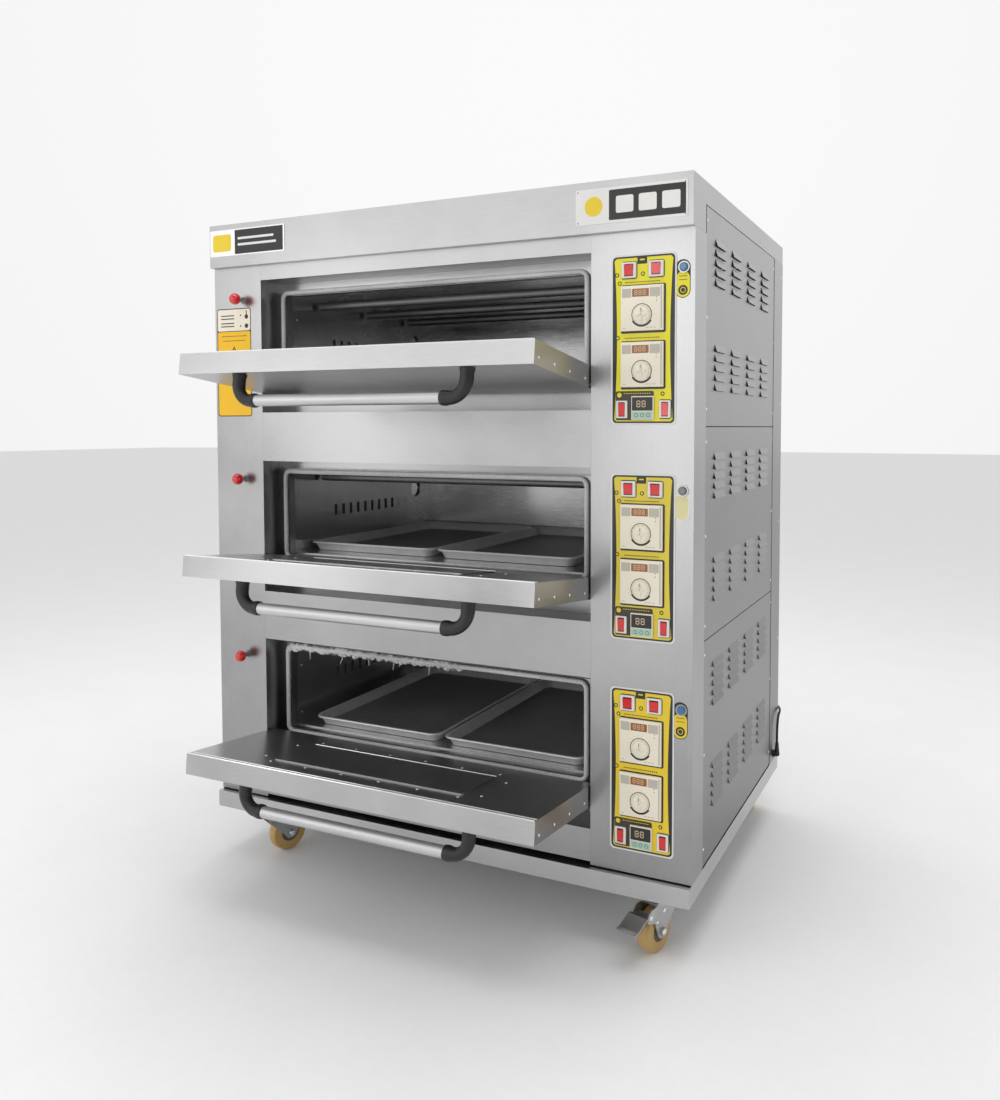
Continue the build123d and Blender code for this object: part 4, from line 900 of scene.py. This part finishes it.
# ---- damper balls, castors, screws ----
def make_damper_ball(deck):
    x, y, z = LEFT + 0.095, FRONT - 0.026, OPENING_Z[deck] + 0.295
    ball = Shape()
    steps = 18
    turns = [math.pi * (s + 0.35) / (steps + 0.35) for s in range(steps)]
    ball.lathe((x, y, z), (0, 1, 0), [(-0.0150 * math.cos(t), 0.0150 * math.sin(t)) for t in turns], 36)
    ball.piece(f"damper_ball_{deck}", "ball", f"damper_pull_{deck}", "red_gloss")
    collar = Shape()
    profile = ((0, 0.0062), (0.0008, 0.0070), (0.0040, 0.0070), (0.0050, 0.0062))
    collar.lathe((x, FRONT - 0.0130, z), (0, 1, 0), profile, 28)
    collar.piece(f"damper_collar_{deck}", "black", f"damper_pull_{deck}", "black_plastic")


def make_wheel(name):
    """A cast tread on a dark hub, turned about the axle."""
    joint = JOINTS[f"{name}_spin"]
    origin, axis = Vector(joint["pos_m"]), Vector(joint["axis"])
    tread = Shape()
    across = (-0.0158, -0.0150, -0.0110, -0.005, 0.0, 0.005, 0.0110, 0.0150, 0.0158)
    radii = [0.0400, 0.0455, 0.0480, 0.0493, 0.0497, 0.0493, 0.0480, 0.0455, 0.0400]
    tread.tube([origin + axis * a for a in across], radii, 72)
    made = tread.piece(f"{name}_tread", "tread", name, "polyurethane")
    hub = Shape()
    for side in (-1, 1):
        hub.lathe(origin + axis * side * 0.0150, axis * side,
                  ((0.0, 0.0250), (0.0014, 0.0245), (0.0016, 0.0180), (0.0030, 0.0165), (0.0032, 0.0100)), 48)
    hub.piece(f"{name}_hub", "hub", name, "polyurethane")
    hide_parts(name)


def dress_fork(side_name):
    """Bright bolts and rivets on a castor fork's outer faces."""
    swivel = JOINTS[f"castor_{side_name}_swivel"]
    axle = JOINTS[f"wheel_front_{side_name}_spin"]
    kingpin = Vector(swivel["pos_m"])
    axis = Vector(axle["axis"])
    ahead = Vector((-axis.y, axis.x, 0))
    body = f"castor_fork_{side_name}"
    bolts = Shape()
    for side in (-1, 1):
        face = axis * side * 0.0221
        for along, up, radius in (
            (0.030, 0.094, 0.0055), (0.058, 0.078, 0.0045), (0.082, 0.097, 0.0055), (0.004, 0.104, 0.0040)
        ):
            place = Vector((kingpin.x, kingpin.y, 0)) + ahead * along + Vector((0, 0, up)) + face
            bolts.dome(place, axis * side, radius, 0.0022)
        bolts.dome(Vector(axle["pos_m"]) + axis * side * 0.0270, axis * side, 0.0075, 0.0035)
    bolts.piece(f"{body}_bolts", "chrome", body, "zinc_steel")
    pad = Shape()
    pedal = Vector(JOINTS[f"brake_{side_name}_press"]["pos_m"])
    plane = Matrix((ahead, axis, Vector((0, 0, 1)))).transposed().to_4x4()
    for row in range(4):
        low = Vector((0.052 + 0.0035 * row, -0.020, -0.0090))
        pad.box(low, low + Vector((0.0016, 0.040, 0.0012)), 0.0004, Matrix.Translation(pedal) @ plane)
    pad.piece(f"brake_pedal_{side_name}_ribs", "zinc", f"brake_pedal_{side_name}", "zinc_steel")


def make_side_screws():
    """Screws along the edges of the louvred side, the rear wrap and the back."""
    heads = Shape()
    face = RIGHT - 0.0010
    for y in (FRONT + 0.094, REAR - 0.121):
        for z in (0.085, 0.300, 0.525, 0.590, 0.790, 0.998, 1.070, 1.270, 1.480):
            heads.dome((face, y, BASE_Z + z), (1, 0, 0), 0.0034, 0.0013)
    for z in (0.095, 0.400, 0.750, 1.100, 1.470):
        heads.dome((RIGHT, REAR - 0.020, BASE_Z + z), (1, 0, 0), 0.0034, 0.0013)
        for x in (-0.62, -0.31, 0.0, 0.31, 0.62):
            heads.dome((x, REAR, BASE_Z + z), (0, 1, 0), 0.0034, 0.0013)
    heads.piece("panel_screws", "bright", slot="brushed_stainless")
    flange = Shape()
    for deck in DECKS:
        for z in (0.12, 0.25):
            flange.dome((OPENING_LEFT + 0.029, FRONT + 0.103, OPENING_Z[deck] + z), (1, 0, 0), 0.0030, 0.0012)
    flange.piece("mouth_screws", "bright", slot="brushed_stainless")


# ---- power lead ----
CORD_RADIUS = 0.0035
COIL_CENTRE = Vector((RIGHT - 0.140, REAR + 0.182, 0))
PLUG_Z = 0.0143
FLOOR_Z = CORD_RADIUS + 0.0003


def coil_points(turns, steps=16):
    """Turns that lie beside each other on the floor, then on top, from the outer one inwards and out."""
    outer, inner, pitch, rise = 0.0495, 0.0345, 0.0075, 0.0072
    inward = (outer - inner) / pitch
    points = []
    for step in range(round(turns * steps) + 1):
        turned = step / steps
        if turned <= inward:
            radius, height = outer - pitch * turned, 0.0
        elif turned <= inward + 0.5:
            radius, height = inner, rise * (turned - inward) / 0.5
        else:
            radius, height = inner + pitch * (turned - inward - 0.5), rise
        angle = 2 * math.pi * turned
        turned_to = Vector((radius * math.cos(angle), radius * math.sin(angle), FLOOR_Z + height))
        points.append(COIL_CENTRE + turned_to)
    return points


def make_cord():
    gland = Vector((RIGHT + 0.011, REAR - 0.062, BASE_Z + 0.062))
    sleeve = 0.034
    hump = BASE_Z + 0.1815
    route = [
        gland + Vector((0, 0, sleeve)),
        (RIGHT + 0.0100, REAR - 0.061, BASE_Z + 0.168),
        (RIGHT + 0.0085, REAR + 0.010, hump),
        (RIGHT - 0.047, REAR + 0.063, hump),
        (RIGHT - 0.049, REAR + 0.064, BASE_Z + 0.070),
        (RIGHT - 0.066, REAR + 0.063, BASE_Z - 0.038),
        (RIGHT - 0.090, REAR + 0.078, FLOOR_Z),
        (RIGHT - 0.0905, COIL_CENTRE.y - 0.021, FLOOR_Z),
        *coil_points(4.25),
        COIL_CENTRE + Vector((-0.0190, 0.0485, 0.0106)),
        COIL_CENTRE + Vector((-0.0365, 0.0482, 0.0100)),
        COIL_CENTRE + Vector((-0.0528, 0.0455, 0.0096)),
        COIL_CENTRE + Vector((-0.0665, 0.0368, 0.0108)),
        COIL_CENTRE + Vector((-0.0740, 0.0240, 0.0138)),
        COIL_CENTRE + Vector((-0.0750, 0.0155, 0.0143)),
    ]
    data = bpy.data.curves.new("power_lead", "CURVE")
    data.dimensions = "3D"
    data.bevel_depth = CORD_RADIUS
    data.bevel_resolution = 6
    data.resolution_u = 10
    data.use_fill_caps = True
    spline = data.splines.new("NURBS")
    spline.points.add(len(route) - 1)
    for point, place in zip(spline.points, route):
        point.co = (*place, 1.0)
    spline.order_u = 3
    spline.use_endpoint_u = True
    cord = bpy.data.objects.new("power_lead", data)
    bpy.context.scene.collection.objects.link(cord)
    paint(cord, M["cable"])
    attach(cord, "cabinet")

    x, y = COIL_CENTRE.x - 0.075, COIL_CENTRE.y - 0.0185
    plug = Shape()

    def section(along, half_x, half_z, corner):
        outline = rounded(-half_x, -half_z, half_x, half_z, corner, 6)
        return [(x + px, y + along, PLUG_Z + pz) for px, pz in outline]

    plug.rings([
        section(0.0005, 0.0165, 0.0125, 0.0070), section(0.0020, 0.0178, 0.0138, 0.0078),
        section(0.0140, 0.0172, 0.0134, 0.0078), section(0.0220, 0.0130, 0.0105, 0.0070),
        section(0.0290, 0.0088, 0.0078, 0.0060), section(0.0335, 0.0080, 0.0072, 0.0055),
    ])
    body = plug.piece("power_plug_body", "black", "cabinet", "black_plastic")
    pins = Shape()
    for pin in (-0.0095, 0.0095):
        profile = ((0, 0.00235), (0.0180, 0.00235), (0.0195, 0.0016))
        pins.lathe((x + pin, y + 0.001, PLUG_Z), (0, -1, 0), profile, 16)
    pins.piece("power_plug_pins", "chrome", "cabinet", "zinc_steel")
    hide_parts("power_cord", "cord_coil")
    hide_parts("power_plug")


def add_floor():
    """A wide pale floor just under the wheels."""
    slab = Shape()
    slab.box((-40, -40, -0.02), (40, 40, -0.0005))
    data = bpy.data.meshes.new("floor")
    slab.mesh.to_mesh(data)
    slab.mesh.free()
    floor = bpy.data.objects.new("floor", data)
    bpy.context.scene.collection.objects.link(floor)
    paint(floor, surface("floor", grey(0.90), grey(0.93), (0.7, 0.8)))


# ---- the scene ----
add_camera()
make_cord()
add_world()
add_area("key", (-1.5, FRONT - 2.8, 2.5), (0, 0, 0.9), (3.4, 2.0), 13)
add_area("top", (0.2, 0.0, 3.6), (0, 0, 0), (3.0, 3.0), 55)
add_area("strip_left", (-2.3, FRONT - 2.7, 1.15), (-0.9, FRONT, 1.0), (0.7, 1.8), 8)
add_area("strip_right", (-0.25, FRONT - 2.7, 1.2), (0.2, FRONT, 1.0), (0.45, 2.0), 7)
add_floor()

for node, material in NODE_MATERIALS.items():
    paint(frame["nodes"][node], M[material])
for node in EDGED:
    soften(frame["nodes"][node])
make_gaskets()
for deck in DECKS:
    dress_door(deck)
    print_plate(deck)
    dress_controllers(deck)
    make_label(deck)
    make_damper_ball(deck)
    for label in ("low", "high"):
        make_dial(f"dial_{deck}_{label}")
for deck in ("lower", "middle"):
    for side in ("left", "right"):
        make_tray(f"tray_{deck}_{side}")
for side in ("left", "right"):
    make_wheel(f"wheel_front_{side}")
    make_wheel(f"wheel_rear_{side}")
    dress_fork(side)
make_badges()
make_sticker()
make_side_screws()
bpy.context.scene.view_settings.view_transform = "Standard"
